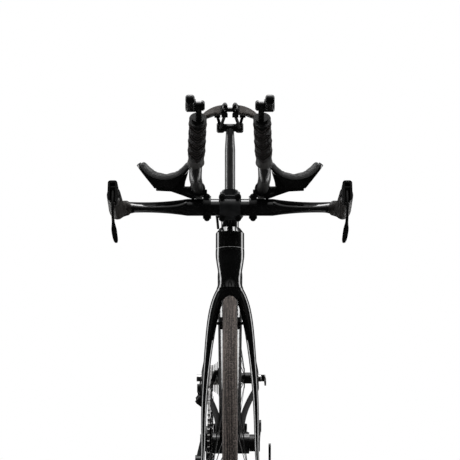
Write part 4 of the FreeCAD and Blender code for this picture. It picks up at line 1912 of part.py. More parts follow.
def clevis(centre, outward):
    """Two ears with pins for both links, joined by a web on the outward side."""
    outer, inner = link_pivots(centre)
    rise = LINK_HEIGHT / 2 + SEAT_GAP
    pieces = []
    for start in (-rise - LINK_THICKNESS, rise):
        lift = LINK_AXIS * start
        ear = strap(outer + lift, LINK_END_RADIUS, inner + lift, LINK_END_RADIUS, LINK_AXIS,
                    LINK_THICKNESS)
        reach = slab(centre + lift + LINK_AXIS * (LINK_THICKNESS / 2) + outward * LINK_END_RADIUS,
                     LINK_ACROSS, LINK_SPACING,
                     outward, 2 * LINK_END_RADIUS, LINK_AXIS, LINK_THICKNESS)
        pieces += [ear, reach]
    web_depth = LINK_END_RADIUS - BODY_GAP
    web = slab(centre + outward * (2 * LINK_END_RADIUS - web_depth / 2 + BODY_GAP), LINK_ACROSS,
               LINK_SPACING, outward, web_depth,
               LINK_AXIS, 2 * (rise + LINK_THICKNESS))
    span = LINK_AXIS * (rise + LINK_THICKNESS)
    pins = [rod(point - span, point + span, LINK_PIN_RADIUS) for point in (outer, inner)]
    return pieces + [web] + pins


def make_rear_derailleur_body():
    """Upper knuckle on the frame's hanger, with its bolt and the links' rear clevis."""
    face = HANGER - SIDE * (DROPOUT_THICKNESS + SEAT_GAP)
    boss = rod(face, face - SIDE * B_KNUCKLE_LENGTH, B_KNUCKLE_RADIUS)
    bolt_rod = rod(HANGER + SIDE * SEAT_GAP, face - SIDE * B_KNUCKLE_LENGTH,
                   HANGER_BOLT_RADIUS - RUNNING_FIT)
    elbow = Vector(face.x, BASE_POINT.y + LINK_END_RADIUS * 2, HANGER.z - B_KNUCKLE_RADIUS)
    foot = Vector(face.x, elbow.y, BASE_POINT.z)
    outward = SIDE * -1.0
    top = strap(face, B_KNUCKLE_RADIUS - LINK_THICKNESS, elbow, LINK_END_RADIUS, outward,
                B_KNUCKLE_LENGTH)
    drop = strap(elbow, LINK_END_RADIUS, foot, LINK_END_RADIUS, outward, B_KNUCKLE_LENGTH)
    return union(boss, bolt_rod, top, drop, *clevis(BASE_POINT, BACK))


def make_rear_derailleur_knuckle():
    """Lower knuckle that carries the cage pivot."""
    start = GUIDE_POINT + CAGE_OUTER - SIDE * BODY_GAP
    end = start - SIDE * KNUCKLE_BLOCK_HALF
    boss = rod(start, end, KNUCKLE_RADIUS)
    front = Vector(end.x, KNUCKLE_POINT.y - 2 * LINK_END_RADIUS, KNUCKLE_POINT.z)
    tongue = block(Vector((start.x + KNUCKLE_POINT.x) / 2, front.y + LINK_THICKNESS / 2, front.z),
                   start.x - KNUCKLE_POINT.x, LINK_THICKNESS, KNUCKLE_RADIUS)
    bore = rod(start + SIDE, end - SIDE, CAGE_PIVOT_RADIUS + RUNNING_FIT)
    return union(union(boss, tongue, *clevis(KNUCKLE_POINT, LINK_AHEAD)).cut(bore))


def make_rear_derailleur_cage():
    """Two cage plates with the pulley axles and the cage pivot."""
    inner = SIDE * CAGE_GAP
    plates = [strap(GUIDE_POINT + shift, CAGE_PLATE_RADIUS, TENSION_POINT + shift, CAGE_PLATE_RADIUS,
                    SIDE, CAGE_PLATE)
              for shift in (CAGE_OUTER, inner)]
    axles = [rod(point + CAGE_OUTER, point + inner + SIDE * CAGE_PLATE,
                 PULLEY_BORE - RUNNING_FIT) for point in (GUIDE_POINT, TENSION_POINT)]
    pivot_start = GUIDE_POINT + CAGE_OUTER
    pivot = rod(pivot_start, pivot_start - SIDE * (BODY_GAP + KNUCKLE_BLOCK_HALF), CAGE_PIVOT_RADIUS)
    return union(*plates, *axles, pivot)


def make_pulley(centre, phase):
    """Jockey wheel with a hub that keeps it between the cage plates."""
    plate = sprocket(centre, -CHAINLINE, PULLEY_TEETH, SPROCKET_THICKNESS, phase, PULLEY_BORE)
    point = flat_point(centre, -CHAINLINE)
    half = SIDE * (CAGE_GAP - BODY_GAP)
    hub = ring(point - half, point + half, PULLEY_HUB_RADIUS, PULLEY_BORE)
    return union(plate, hub)


# Front derailleur

FD_Y = on_seat_tube((FD_PIVOT_Z - BRACKET.z) / SEAT_UP.z).y
FD_UPPER = Vector(-FD_PIVOT_X, FD_Y, FD_PIVOT_Z)
FD_LOWER = FD_UPPER - SIDE * FD_LINK_OUT - UP * FD_LINK_DROP
FD_EAR_START = FD_LINK_HALF + SEAT_GAP
FD_CAGE_RADIUS = pitch_radius(OUTER_RING_TEETH) + TOOTH_HEIGHT + FD_CAGE_CLEARANCE


def fd_ears(pivot, root, root_radius):
    """Two ears from a root to a pivot, with the pin between them."""
    pieces = []
    for start in (-FD_EAR_START - FD_EAR, FD_EAR_START):
        lift = BACK * start
        pieces.append(strap(root + lift, root_radius, pivot + lift, FD_LINK_RADIUS - BODY_GAP, BACK,
                            FD_EAR))
    span = BACK * (FD_EAR_START + FD_EAR)
    return pieces + [rod(pivot - span, pivot + span, FD_PIN_RADIUS)]


def make_front_derailleur_body(frame):
    """Bracket on the seat tube with the link's upper pivot."""
    inner = FD_UPPER + SIDE * (FD_LINK_RADIUS + 2 * BODY_GAP)
    width = -inner.x - SEAT_TUBE_HALF / 2
    bracket = block(inner + SIDE * (width / 2), width, 2 * (FD_EAR_START + FD_EAR), 4 * FD_LINK_RADIUS)
    root = inner + SIDE * FD_LINK_RADIUS
    return union(union(bracket, *fd_ears(FD_UPPER, root, FD_LINK_RADIUS)).cut(frame))


def make_front_derailleur_link():
    """Link between the bracket and the cage."""
    low = BACK * -FD_LINK_HALF
    plate = strap(FD_UPPER + low, FD_LINK_RADIUS, FD_LOWER + low, FD_LINK_RADIUS, BACK, 2 * FD_LINK_HALF)
    holes = [rod(point + low * 2, point - low * 2, FD_PIN_RADIUS + RUNNING_FIT) for point in (FD_UPPER,
            FD_LOWER)]
    return union(plate.cut(holes))


def fd_plate(x):
    """Cage plate that follows the outer chainring."""
    low, high = FD_CAGE_RADIUS, FD_CAGE_RADIUS + FD_CAGE_HEIGHT
    start, end = math.radians(FD_CAGE_START), math.radians(FD_CAGE_END)
    middle = (start + end) / 2

    def at(radius, angle):
        return flat_point(CRANK_CENTRE + radius * turned(angle), x)

    edges = [arc(at(low, start), at(low, middle), at(low, end)), line(at(low, end), at(high, end)),
             arc(at(high, end), at(high, middle), at(high, start)), line(at(high, start), at(low, start))]
    return Part.Face(Part.Wire(edges)).extrude(SIDE * FD_CAGE_PLATE)


def make_front_derailleur_cage():
    """Two plates on either side of the chain, bridged above it and behind it."""
    outer_x = -CHAINLINE - FD_CAGE_OUTER_GAP - FD_CAGE_PLATE
    inner_x = -CHAINLINE + FD_CAGE_INNER_GAP
    pieces = [fd_plate(outer_x), fd_plate(inner_x)]
    end = math.radians(FD_CAGE_END)
    over = flat_point(CRANK_CENTRE + (FD_CAGE_RADIUS + FD_CAGE_HEIGHT - FD_CAGE_PLATE) * turned(end), 0.0)
    span = inner_x + FD_CAGE_PLATE - outer_x
    pieces.append(block(Vector(outer_x + span / 2, over.y + FD_LINK_HALF / 2, over.z - FD_CAGE_PLATE),
                        span, FD_LINK_HALF, 2 * FD_CAGE_PLATE))
    tail_turn = turned(math.radians(FD_CAGE_START + FD_TAIL_TURN))
    tail = flat_point(CRANK_CENTRE + (FD_CAGE_RADIUS + 2 * FD_PIN_RADIUS) * tail_turn, 0.0)
    pieces.append(rod(tail + SIDE * outer_x, tail + SIDE * (inner_x + FD_CAGE_PLATE), FD_PIN_RADIUS))
    root = Vector(inner_x + FD_CAGE_PLATE / 2, FD_Y, FD_LOWER.z - 3 * FD_LINK_RADIUS)
    return union(*pieces, *fd_ears(FD_LOWER, root, FD_LINK_RADIUS - BODY_GAP))


# Cable housings

def housing(name, points, radius):
    """Housing along its route; its length and least bend radius are printed."""
    tube, path, least = pipe(points, radius)
    share = tube.Volume / (math.pi * radius ** 2 * path.Length)
    print(name, "length", round(path.Length), "least radius", round(least, 1), "volume share",
          round(share, 3))
    return tube


def port_point(port, depth):
    """Point on the axis of a cable port in the top tube."""
    x, y = port
    lean = math.radians(PORT_LEAN)
    return Vector(x, y, TOP_TUBE_TOP) + Vector(0, math.cos(lean), -math.sin(lean)) * depth


def port_cut(port, radius):
    """Bore of a cable port."""
    return rod(port_point(port, -PORT_DEPTH), port_point(port, PORT_DEPTH), radius + SEAT_GAP)


def from_bar(offsets, sign=1):
    """Route points measured from the middle of the base bar."""
    return [BAR + Vector(sign * x, y, z) for x, y, z in offsets]


def make_steering_housings():
    """Housings that bend when the bars turn: two shift, rear brake and front brake."""
    pieces = []
    for sign, port in ((1, SHIFT_PORT), (-1, (-SHIFT_PORT[0], SHIFT_PORT[1]))):
        start = Vector(sign * EXTENSION_END.x, EXTENSION_END.y, EXTENSION_END.z)
        first = start - EXTENSION_AHEAD * SHIFT_FIRST_RUN
        route = [start + BACK * SEAT_GAP, first] + from_bar(SHIFT_ROUTE,
                                                            sign) + [port_point(port, -PORT_RUN),
                                                                    port_point(port, PORT_DEPTH / 2)]
        pieces.append(housing("shift housing", route, SHIFT_HOUSING_RADIUS))
    route = from_bar(REAR_BRAKE_ROUTE) + [port_point(BRAKE_PORT, -PORT_RUN),
                                          port_point(BRAKE_PORT, PORT_DEPTH / 2)]
    pieces.append(housing("rear brake housing", route, BRAKE_HOUSING_RADIUS))
    pieces.append(housing("front brake housing", from_bar(FRONT_BRAKE_ROUTE, -1), BRAKE_HOUSING_RADIUS))
    return Part.makeCompound(pieces)


def make_rear_shift_housing():
    """Loop from the drive-side dropout to the rear derailleur."""
    start = REAR_HUB - SIDE * (REAR_DROPOUT_X + DROPOUT_THICKNESS / 2) + BACK * (DROPOUT_RADIUS + SEAT_GAP)
    route = [start + Vector(x, y, z) for x, y, z in REAR_LOOP_ROUTE]
    return housing("rear loop", route, SHIFT_HOUSING_RADIUS)


# Output

def parts():
    """Every node by name."""
    frame = make_frame()
    bar = make_base_bar()
    rails = make_saddle_rails()
    saddle_shell = make_saddle_shell(rails)
    brake_lever = make_brake_lever()
    shift_lever = make_shift_lever()
    front_arm = make_brake_arm(FRONT_HUB, FRONT_RADIAL, FRONT_STUD)
    rear_arm = make_brake_arm(REAR_HUB, REAR_RADIAL, REAR_STUD)
    return {
        "frame": frame,
        "headset_extension": make_headset_extension(),
        "bearings": make_bearings(),
        "seatpost": make_seatpost(),
        "saddle_clamp": make_saddle_clamp(rails),
        "saddle_rails": rails,
        "saddle_shell": saddle_shell,
        "saddle_padding": make_saddle_padding(saddle_shell),
        "fork": make_fork(),
        "headset_cover": make_headset_cover(),
        "front_tyre": make_tyre(FRONT_HUB),
        "rear_tyre": make_tyre(REAR_HUB),
        "front_rim": make_rim(FRONT_HUB),
        "rear_rim": make_rim(REAR_HUB),
        "front_spokes": make_spokes(FRONT_HUB, FRONT_SPOKES, FRONT_FLANGE_X, FRONT_FLANGE_X,
                                    FRONT_FLANGE_RADIUS),
        "rear_spokes": make_spokes(REAR_HUB, REAR_SPOKES, REAR_FLANGE_X, DRIVE_FLANGE_X,
                                   REAR_FLANGE_RADIUS),
        "front_hub": make_front_hub(),
        "rear_hub": make_rear_hub(),
        "front_axle": make_axle(FRONT_HUB, FRONT_HUB_WIDTH, FRONT_AXLE_END, BACK),
        "rear_axle": make_axle(REAR_HUB, REAR_HUB_WIDTH, REAR_AXLE_END, UP),
        "front_release_lever": make_release_lever(FRONT_HUB, FRONT_HUB_WIDTH, UP, BACK),
        "rear_release_lever": make_release_lever(REAR_HUB, REAR_HUB_WIDTH, BACK * -1.0, UP),
        "chain": make_chain(),
        "chainrings": make_chainrings(),
        "chainring_bolts": make_chainring_bolts(),
        "crank_arm_right": make_crank_right(),
        "crank_arm_left": make_crank_left(),
        "cassette": make_cassette(),
        "stem": make_stem(),
        "stem_faceplate": make_faceplate(),
        "cockpit_bolts": make_cockpit_bolts(),
        "base_bar": bar,
        "horn_grips": make_horn_grips(bar),
        "brake_lever_bodies": make_lever_bodies(),
        "brake_lever_left": brake_lever,
        "brake_lever_right": mirrored(brake_lever),
        "extensions": make_extensions(),
        "extension_grips": make_extension_grips(),
        "bar_clamps": make_bar_clamps(),
        "armrest_cups": make_armrest_cups(),
        "armrest_pads": make_armrest_pads(),
        "shifter_bodies": make_shifter_bodies(),
        "shift_lever_left": shift_lever,
        "shift_lever_right": mirrored(shift_lever),
        "front_brake_arm_left": front_arm,
        "front_brake_arm_right": mirrored(front_arm),
        "rear_brake_arm_left": rear_arm,
        "rear_brake_arm_right": mirrored(rear_arm),
        "rear_derailleur_body": make_rear_derailleur_body(),
        "rear_derailleur_outer_link": make_derailleur_link(0),
        "rear_derailleur_inner_link": make_derailleur_link(1),
        "rear_derailleur_knuckle": make_rear_derailleur_knuckle(),
        "rear_derailleur_cage": make_rear_derailleur_cage(),
        "guide_pulley": make_pulley(GUIDE_CENTRE, GUIDE_PHASE),
        "tension_pulley": make_pulley(TENSION_CENTRE, TENSION_PHASE),
        "front_derailleur_body": make_front_derailleur_body(frame),
        "front_derailleur_link": make_front_derailleur_link(),
        "front_derailleur_cage": make_front_derailleur_cage(),
        "steering_housings": make_steering_housings(),
        "rear_shift_housing": make_rear_shift_housing(),
    }


os.makedirs("parts", exist_ok=True)
for name, shape in parts().items():
    shape.exportStep("parts/" + name + ".step")
    print(name, len(shape.Solids), round(sum(solid.Volume for solid in shape.Solids) / 1000.0, 1),
          shape.isValid())
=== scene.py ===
import json
import math
import bpy
import bmesh
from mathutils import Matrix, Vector


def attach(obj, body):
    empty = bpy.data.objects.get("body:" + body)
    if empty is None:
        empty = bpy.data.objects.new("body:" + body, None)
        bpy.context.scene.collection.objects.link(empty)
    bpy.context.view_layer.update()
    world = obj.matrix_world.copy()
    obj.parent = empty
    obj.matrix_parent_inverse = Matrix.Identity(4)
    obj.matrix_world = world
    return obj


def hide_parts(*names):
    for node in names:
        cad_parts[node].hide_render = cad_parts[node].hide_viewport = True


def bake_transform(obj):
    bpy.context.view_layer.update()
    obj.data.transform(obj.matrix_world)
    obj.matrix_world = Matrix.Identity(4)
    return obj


# %% [markdown]
# # A time trial bike in Blender
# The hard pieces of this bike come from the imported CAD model: each node already sits in its place, in
# metres. This lesson dresses them. It adds a studio, gives every piece its finish, and makes anew what
# CAD can only hint at: padding, cables and the ribbed grips.

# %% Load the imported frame
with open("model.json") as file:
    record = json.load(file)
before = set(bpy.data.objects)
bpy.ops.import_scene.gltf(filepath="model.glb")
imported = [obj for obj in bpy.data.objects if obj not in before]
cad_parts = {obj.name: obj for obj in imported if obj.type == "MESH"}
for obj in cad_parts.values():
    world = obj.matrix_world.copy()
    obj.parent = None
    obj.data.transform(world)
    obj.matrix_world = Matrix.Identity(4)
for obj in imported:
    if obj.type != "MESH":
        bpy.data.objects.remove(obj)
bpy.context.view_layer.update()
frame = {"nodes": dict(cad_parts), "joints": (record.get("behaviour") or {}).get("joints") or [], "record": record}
NODES = frame["nodes"]
JOINTS = {joint["name"]: joint for joint in frame["joints"]}

# %% [markdown]
# ## Camera
# The bike was photographed from straight ahead with a long lens, slightly above the handlebar. The eye
# point is 3 m in front of the origin. A small downward pitch puts the horizon a quarter down the image.
# The lens could be set by eye; here it follows from the focal length in pixels, so it can be checked.

# %% Camera
EYE = Vector((0.0, -3.0475, 1.010))
PITCH = math.radians(4.82)
FOCAL_PIXELS = 1418.0
IMAGE_PIXELS = 460.0
SENSOR_MM = 36.0


def add_object(name, data):
    """New object in the scene that holds a mesh, a curve, a lamp or a camera."""
    holder = bpy.data.objects.new(name, data)
    bpy.context.scene.collection.objects.link(holder)
    return holder


camera_data = bpy.data.cameras.new("front_camera")
camera_data.sensor_width = SENSOR_MM
camera_data.lens = SENSOR_MM * FOCAL_PIXELS / IMAGE_PIXELS
camera = add_object("front_camera", camera_data)
camera.location = EYE
camera.rotation_euler = (math.pi / 2 - PITCH, 0.0, 0.0)
bpy.context.scene.camera = camera
bpy.context.scene.view_settings.view_transform = "Standard"
print("lens mm:", round(camera_data.lens, 1))

# %% [markdown]
# ## Studio
# World, floor and finishes are all trees of nodes. A few helpers keep every tree short: one adds a node
# and fills or links its inputs, the others are the steps that come up again and again.

# %% Helpers for node trees
def add_node(tree, kind, inputs=None, **values):
    """Adds a node, sets its plain properties, and links or fills its inputs."""
    node = tree.nodes.new(kind)
    for key, value in values.items():
        setattr(node, key, value)
    for key, value in (inputs or {}).items():
        if isinstance(value, bpy.types.NodeSocket):
            tree.links.new(value, node.inputs[key])
        else:
            node.inputs[key].default_value = value
    return node


def arithmetic(tree, operation, *terms):
    """One step of arithmetic on sockets or numbers."""
    return add_node(tree, "ShaderNodeMath", dict(enumerate(terms)), operation=operation).outputs[0]


def rise(tree, value, start, end, low=0.0, high=1.0, curve="LINEAR"):
    """Goes from low to high while a value goes from start to end."""
    ends = {"Value": value, "From Min": start, "From Max": end, "To Min": low, "To Max": high}
    return add_node(tree, "ShaderNodeMapRange", ends, interpolation_type=curve).outputs[0]


def either(tree, share, plain, other):
    """One number where share is 0, the other where it is 1."""
    choice = {"Factor": share, "A": plain, "B": other}
    return add_node(tree, "ShaderNodeMix", choice, data_type="FLOAT").outputs[0]


def colour_ramp(tree, value, stops):
    """Colour that follows a value through (position, colour) stops."""
    node = add_node(tree, "ShaderNodeValToRGB", {"Fac": value})
    elements = node.color_ramp.elements
    for position, _ in stops[1:-1]:
        elements.new(position)
    for element, (position, colour) in zip(elements, stops):
        element.position = position
        element.color = (*colour, 1.0)
    return node.outputs["Color"]


def grey(value, warm=0.0):
    """Neutral colour, a little warm or cool."""
    return (value * (1 + warm), value, value * (1 - warm))


print("node helpers ready")

# %% [markdown]
# ### World
# Gloss black shows little of its own colour: what the eye sees is what it mirrors. A photographer keeps
# the camera's side dark, so that the paint stays deep, and stands bright panels at both sides, a little
# behind the bike, so that each tube gets a thin white line along its edge. Real panels would stand in
# the way of other views, so the world does their work: it is white to the camera, dim and even as plain
# light, and in mirrors a narrow bright band at the sides, dark in front and straight behind, with a
# soft glow overhead.

# %% World
GLOW_STOPS = ((0.0, 0.012), (0.64, 0.02), (0.69, 5.0), (0.77, 5.0), (0.82, 0.10), (1.0, 0.05))
ROOM_LIGHT = 0.30
OVERHEAD_START = 0.55
OVERHEAD_END = 0.95
OVERHEAD_GLOW = 0.7


def edge_glow(tree, heading):
    """Brightness in a mirror by heading: -1 is the camera's side, 1 is straight behind the bike."""
    stops = [(position, grey(level)) for position, level in GLOW_STOPS]
    return colour_ramp(tree, rise(tree, heading, -1.0, 1.0), stops)


def seen_itself(tree, rays):
    """1 for what the camera sees, also through clear pieces; 0 for light and mirrors."""
    return arithmetic(tree, "MAXIMUM", rays["Is Camera Ray"], rays["Is Transmission Ray"])


world = bpy.data.worlds.new("white_studio")
bpy.context.scene.world = world
world.use_nodes = True
sky = world.node_tree
sky.nodes.clear()
sky_rays = add_node(sky, "ShaderNodeLightPath").outputs
direction = add_node(sky, "ShaderNodeTexCoord").outputs["Generated"]
towards = add_node(sky, "ShaderNodeSeparateXYZ", {0: direction}).outputs
overhead = rise(sky, towards["Z"], OVERHEAD_START, OVERHEAD_END, 0.0, OVERHEAD_GLOW, "SMOOTHSTEP")
in_mirrors = arithmetic(sky, "MAXIMUM", edge_glow(sky, towards["Y"]), overhead)
on_bike = either(sky, sky_rays["Is Glossy Ray"], ROOM_LIGHT, in_mirrors)
brightness = either(sky, seen_itself(sky, sky_rays), on_bike, 1.0)
backdrop = add_node(sky, "ShaderNodeBackground", {"Color": (1.0, 1.0, 1.0, 1.0), "Strength": brightness})
add_node(sky, "ShaderNodeOutputWorld", {"Surface": backdrop.outputs[0]})
print("world nodes:", len(sky.nodes))

# %% [markdown]
# ### Lamps
# One soft lamp overhead and a tall one at each side give the plain light that brings out colour and
# grain. The side lamps are hidden from mirrors, because the band in the world already draws the white
# lines.

# %% Lamps
TOP_PLACE = (0.0, 0.2, 3.2)
TOP_AIM = (0.0, -0.2, 0.6)
TOP_SIZE = (1.6, 1.6)
TOP_WATTS = 38.0
SIDE_PLACE = (2.4, 0.9, 1.4)
SIDE_AIM = (0.0, -0.2, 0.7)
SIDE_SIZE = (0.6, 2.2)
SIDE_WATTS = 45.0


def on_side(point, sign):
    """A point for sign 1, its mirror image for sign -1."""
    return Vector((sign * point[0], point[1], point[2]))


def softbox(name, place, aim, size, watts):
    """Rectangular soft lamp that faces a point."""
    lamp = bpy.data.lights.new(name, "AREA")
    lamp.shape = "RECTANGLE"
    lamp.size = size[0]
    lamp.size_y = size[1]
    lamp.energy = watts
    holder = add_object(name, lamp)
    holder.location = place
    holder.rotation_euler = (Vector(aim) - Vector(place)).to_track_quat("-Z", "Y").to_euler()
    return holder


softbox("top_light", TOP_PLACE, TOP_AIM, TOP_SIZE, TOP_WATTS)
for side_name, sign in (("left_light", 1), ("right_light", -1)):
    side_lamp = softbox(side_name, on_side(SIDE_PLACE, sign), SIDE_AIM, SIDE_SIZE, SIDE_WATTS)
    side_lamp.visible_glossy = False
print("lamps:", len(bpy.data.lights))

# %% [markdown]
# ### Floor
# The floor is a pale sheet that runs out to white about a metre from the bike's middle, as a paper
# sweep does. Near the wheels it takes the lamps' light and keeps the shadow; further out it shines as
# brightly as the world. Tubes also mirror the floor from below, so for mirrors it carries the world's
# bright band by heading. All of it follows the sheet's own coordinates, so it stays in place from every
# side.

# %% Floor
FLOOR_HALF = 9.0
FLOOR_DROP = 0.0006
FLOOR_CORNERS = ((-1, -1), (1, -1), (1, 1), (-1, 1))
FADE_START = 0.5
FADE_END = 1.15
LEAST_FADE = 0.55
MIRROR_START = 0.15
MIRROR_END = 0.7
floor_mesh = bpy.data.meshes.new("floor")
corners = [(FLOOR_HALF * x, FLOOR_HALF * y, -FLOOR_DROP) for x, y in FLOOR_CORNERS]
floor_mesh.from_pydata(corners, [], [(0, 1, 2, 3)])
floor = add_object("floor", floor_mesh)
pale = bpy.data.materials.new("pale_floor")
pale.use_nodes = True
sheet = pale.node_tree
paint = sheet.nodes["Principled BSDF"]
paint.inputs["Base Color"].default_value = (*grey(0.86), 1.0)
paint.inputs["Roughness"].default_value = 0.9
spot = add_node(sheet, "ShaderNodeTexCoord").outputs["Object"]
reach = add_node(sheet, "ShaderNodeVectorMath", {0: spot}, operation="LENGTH").outputs["Value"]
behind = add_node(sheet, "ShaderNodeSeparateXYZ", {0: spot}).outputs["Y"]
floor_rays = add_node(sheet, "ShaderNodeLightPath").outputs
shown = seen_itself(sheet, floor_rays)
fade = rise(sheet, reach, FADE_START, FADE_END, LEAST_FADE, 1.0, "SMOOTHSTEP")
shown_far = arithmetic(sheet, "MULTIPLY", shown, fade)
shining = arithmetic(sheet, "MAXIMUM", floor_rays["Is Glossy Ray"], shown_far)
band = edge_glow(sheet, arithmetic(sheet, "DIVIDE", behind, reach))
outer = rise(sheet, reach, MIRROR_START, MIRROR_END, 0.0, 1.0, "SMOOTHSTEP")
outer_band = arithmetic(sheet, "MULTIPLY", band, outer)
mirrored = arithmetic(sheet, "MULTIPLY", outer_band, floor_rays["Is Glossy Ray"])
glow = add_node(sheet, "ShaderNodeEmission", {"Strength": arithmetic(sheet, "MAXIMUM", shown, mirrored)})
blend = add_node(sheet, "ShaderNodeMixShader", {0: shining, 1: paint.outputs[0], 2: glow.outputs[0]})
sheet.links.new(blend.outputs[0], sheet.nodes["Material Output"].inputs["Surface"])
floor_mesh.materials.append(pale)
print("floor:", floor.name)

# %% [markdown]
# ## Finishes
# Patterns could be painted as images, but drawn by nodes they stay sharp at any distance. They read
# Object coordinates: all pieces sit at the origin, so one metre in the pattern is one metre on the
# bike. A noise scale of 35 gives clouds of about three centimetres, one of 900 a grain of about a
# millimetre.

# %% Helper for finishes
FINISHES = {}


class Finish:
    """A new material with short calls for its nodes."""

    def __init__(self, name, roughness=0.4, metallic=0.0):
        self.material = bpy.data.materials.new(name)
        self.material.use_nodes = True
        self.tree = self.material.node_tree
        self.shader = self.tree.nodes["Principled BSDF"]
        self.set("Roughness", roughness).set("Metallic", metallic)
        self.coords = self.node("ShaderNodeTexCoord").outputs["Object"]

    def node(self, kind, inputs=None, **values):
        """Node in this material's tree."""
        return add_node(self.tree, kind, inputs, **values)

    def set(self, socket, value):
        """Fixed value on one of the shader's own sockets."""
        self.shader.inputs[socket].default_value = value
        return self

    def drive(self, socket, source):
        """Pattern on one of the shader's own sockets."""
        self.tree.links.new(source, self.shader.inputs[socket])

    def mapped(self, scale=(1, 1, 1), turn=(0, 0, 0), shift=(0, 0, 0)):
        """Object coordinates after a stretch, a turn and a shift."""
        moves = {"Vector": self.coords, "Scale": scale, "Rotation": turn, "Location": shift}
        return self.node("ShaderNodeMapping", moves).outputs[0]

    def place(self, vector=None):
        """X, Y and Z of a point on the piece."""
        return self.node("ShaderNodeSeparateXYZ", {0: vector or self.coords}).outputs

    def noise(self, scale, detail=3.0, vector=None):
        """Cloudy pattern from 0 to 1."""
        settings = {"Vector": vector or self.coords, "Scale": scale, "Detail": detail}
        return self.node("ShaderNodeTexNoise", settings).outputs["Fac"]

    def cells(self, scale):
        """Distance to scattered cell centres."""
        settings = {"Vector": self.coords, "Scale": scale}
        return self.node("ShaderNodeTexVoronoi", settings).outputs["Distance"]

    def waves(self, scale, axis, distortion):
        """Even bands along one axis."""
        settings = {"Vector": self.coords, "Scale": scale, "Distortion": distortion}
        return self.node("ShaderNodeTexWave", settings, bands_direction=axis).outputs["Fac"]

    def math(self, operation, *terms):
        """One step of arithmetic."""
        return arithmetic(self.tree, operation, *terms)

    def weighted(self, *pairs):
        """Sum of (pattern, weight) pairs."""
        total = 0.0
        for pattern, weight in pairs:
            total = self.math("MULTIPLY_ADD", pattern, weight, total)
        return total

    def distance(self, first, second):
        """Length of two steps at right angles."""
        return self.math("SQRT", self.weighted((first, first), (second, second)))

    def rise(self, value, start, end, low=0.0, high=1.0):
        """Goes from low to high while a value goes from start to end."""
        return rise(self.tree, value, start, end, low, high)

    def colours(self, value, *stops):
        """Base colour from a ramp of (position, colour) stops."""
        self.drive("Base Color", colour_ramp(self.tree, value, stops))

    def rough(self, value, low, high):
        """Roughness between two values."""
        self.drive("Roughness", self.rise(value, 0.0, 1.0, low, high))

    def bump(self, height, depth, strength):
        """Bump of a real depth in metres."""
        settings = {"Height": height, "Distance": depth, "Strength": strength}
        self.drive("Normal", self.node("ShaderNodeBump", settings).outputs["Normal"])

    def keep(self, key):
        """Files the material under a key."""
        FINISHES[key] = self.material


print("finish helper ready")

# %% [markdown]
# ### Gloss lacquer
# Frame, fork and base bar are lacquered carbon. The black under the lacquer is nearly even; what gives
# it life is a clear coat over a slight ripple that bends the reflected edges.

# %% Gloss lacquer
def clear_coat(made):
    """Clear lacquer with a slight ripple under it."""
    made.bump(made.noise(420.0, 2.0), 0.00002, 0.35)
    made.set("Coat Weight", 0.5).set("Coat Roughness", 0.04)


lacquer = Finish("gloss_lacquer")
lacquer.colours(lacquer.noise(35.0), (0.3, grey(0.0035)), (0.7, grey(0.007, -0.03)))
lacquer.rough(lacquer.noise(180.0), 0.10, 0.17)
clear_coat(lacquer)
lacquer.keep("gloss_black")
print("made", lacquer.material.name)

# %% [markdown]
# The spacer under the stem ends in a fine bevel that catches the light. The bevel is too thin to model,
# so a painted highlight stands in for it: a pale band at the spacer's foot. Height along the tilted
# steering axis finds the foot.

# %% Spacer with a painted highlight at its foot
STEER_UP = Vector(JOINTS["steering"]["axis"])
# height of the painted highlight, the pale band at the spacer's foot
HIGHLIGHT_BAND = 0.0011
spacer_foot = min(vertex.co.dot(STEER_UP) for vertex in NODES["headset_extension"].data.vertices)
spacer = Finish("spacer_lacquer", roughness=0.14)
spacer_place = spacer.place()
tilted = spacer.weighted((spacer_place["Y"], STEER_UP.y), (spacer_place["Z"], STEER_UP.z))
# painted highlight: a pale band at the foot stands in for the light that the fine bevel catches
edge = spacer.rise(tilted, spacer_foot + HIGHLIGHT_BAND / 2, spacer_foot + HIGHLIGHT_BAND, 1.0, 0.0)
spacer.colours(spacer.weighted((spacer.noise(35.0), 0.4), (edge, 0.6)),
               (0.12, grey(0.0035)), (0.40, grey(0.007)), (0.75, grey(0.6)))
clear_coat(spacer)
spacer.keep("spacer_lacquer")
print("spacer foot at", round(spacer_foot, 4), "m along the steering axis")

# %% [markdown]
# ### Satin carbon
# Extension tubes and seatpost show bare fibres under a satin coat. Seen from the front these tubes run
# upwards, so the noise is stretched along Z. Each tube also turns the noise, and so gets fibres of its
# own. The seatpost's copy is paler: a painted sheen for the light it catches from both sides.

# %% Satin carbon
FIBRE_STRETCH = (900.0, 900.0, 22.0)
BAND_STRETCH = (160.0, 160.0, 6.0)
EXTENSION_TURN = (math.radians(-48.0), 0.0, 0.0)
SEAT_TURN = (math.radians(12.0), 0.0, 0.0)


def satin_carbon(name, turn, dark, light):
    """Long upright fibres with broader bands among them."""
    carbon = Finish(name)
    fibres = carbon.noise(1.0, 4.0, carbon.mapped(FIBRE_STRETCH, turn))
    bands = carbon.noise(1.0, 2.0, carbon.mapped(BAND_STRETCH, turn))
    both = carbon.weighted((fibres, 0.55), (bands, 0.45))
    carbon.colours(both, (0.25, grey(dark)), (0.75, grey(light)))
    carbon.rough(both, 0.26, 0.40)
    carbon.bump(fibres, 0.00002, 0.4)
    carbon.set("Coat Weight", 0.25).set("Coat Roughness", 0.18)
    carbon.keep(name)


satin_carbon("extension_carbon", EXTENSION_TURN, 0.003, 0.022)
# the seatpost's copy is paler: painted sheen for the light it catches from both sides
satin_carbon("seatpost_carbon", SEAT_TURN, 0.005, 0.060)
print("satin carbon finishes: 2")

# %% [markdown]
# ### Anodised alloy
# Clamps, levers, cranks and derailleurs are black anodised: a fine bead-blasted grain, with clouds that
# vary its tone and gloss a little. The stem is a shade paler and duller, and chainrings and spoke
# nipples are plain grey. The three share one form and differ in their numbers, so one function makes
# them.

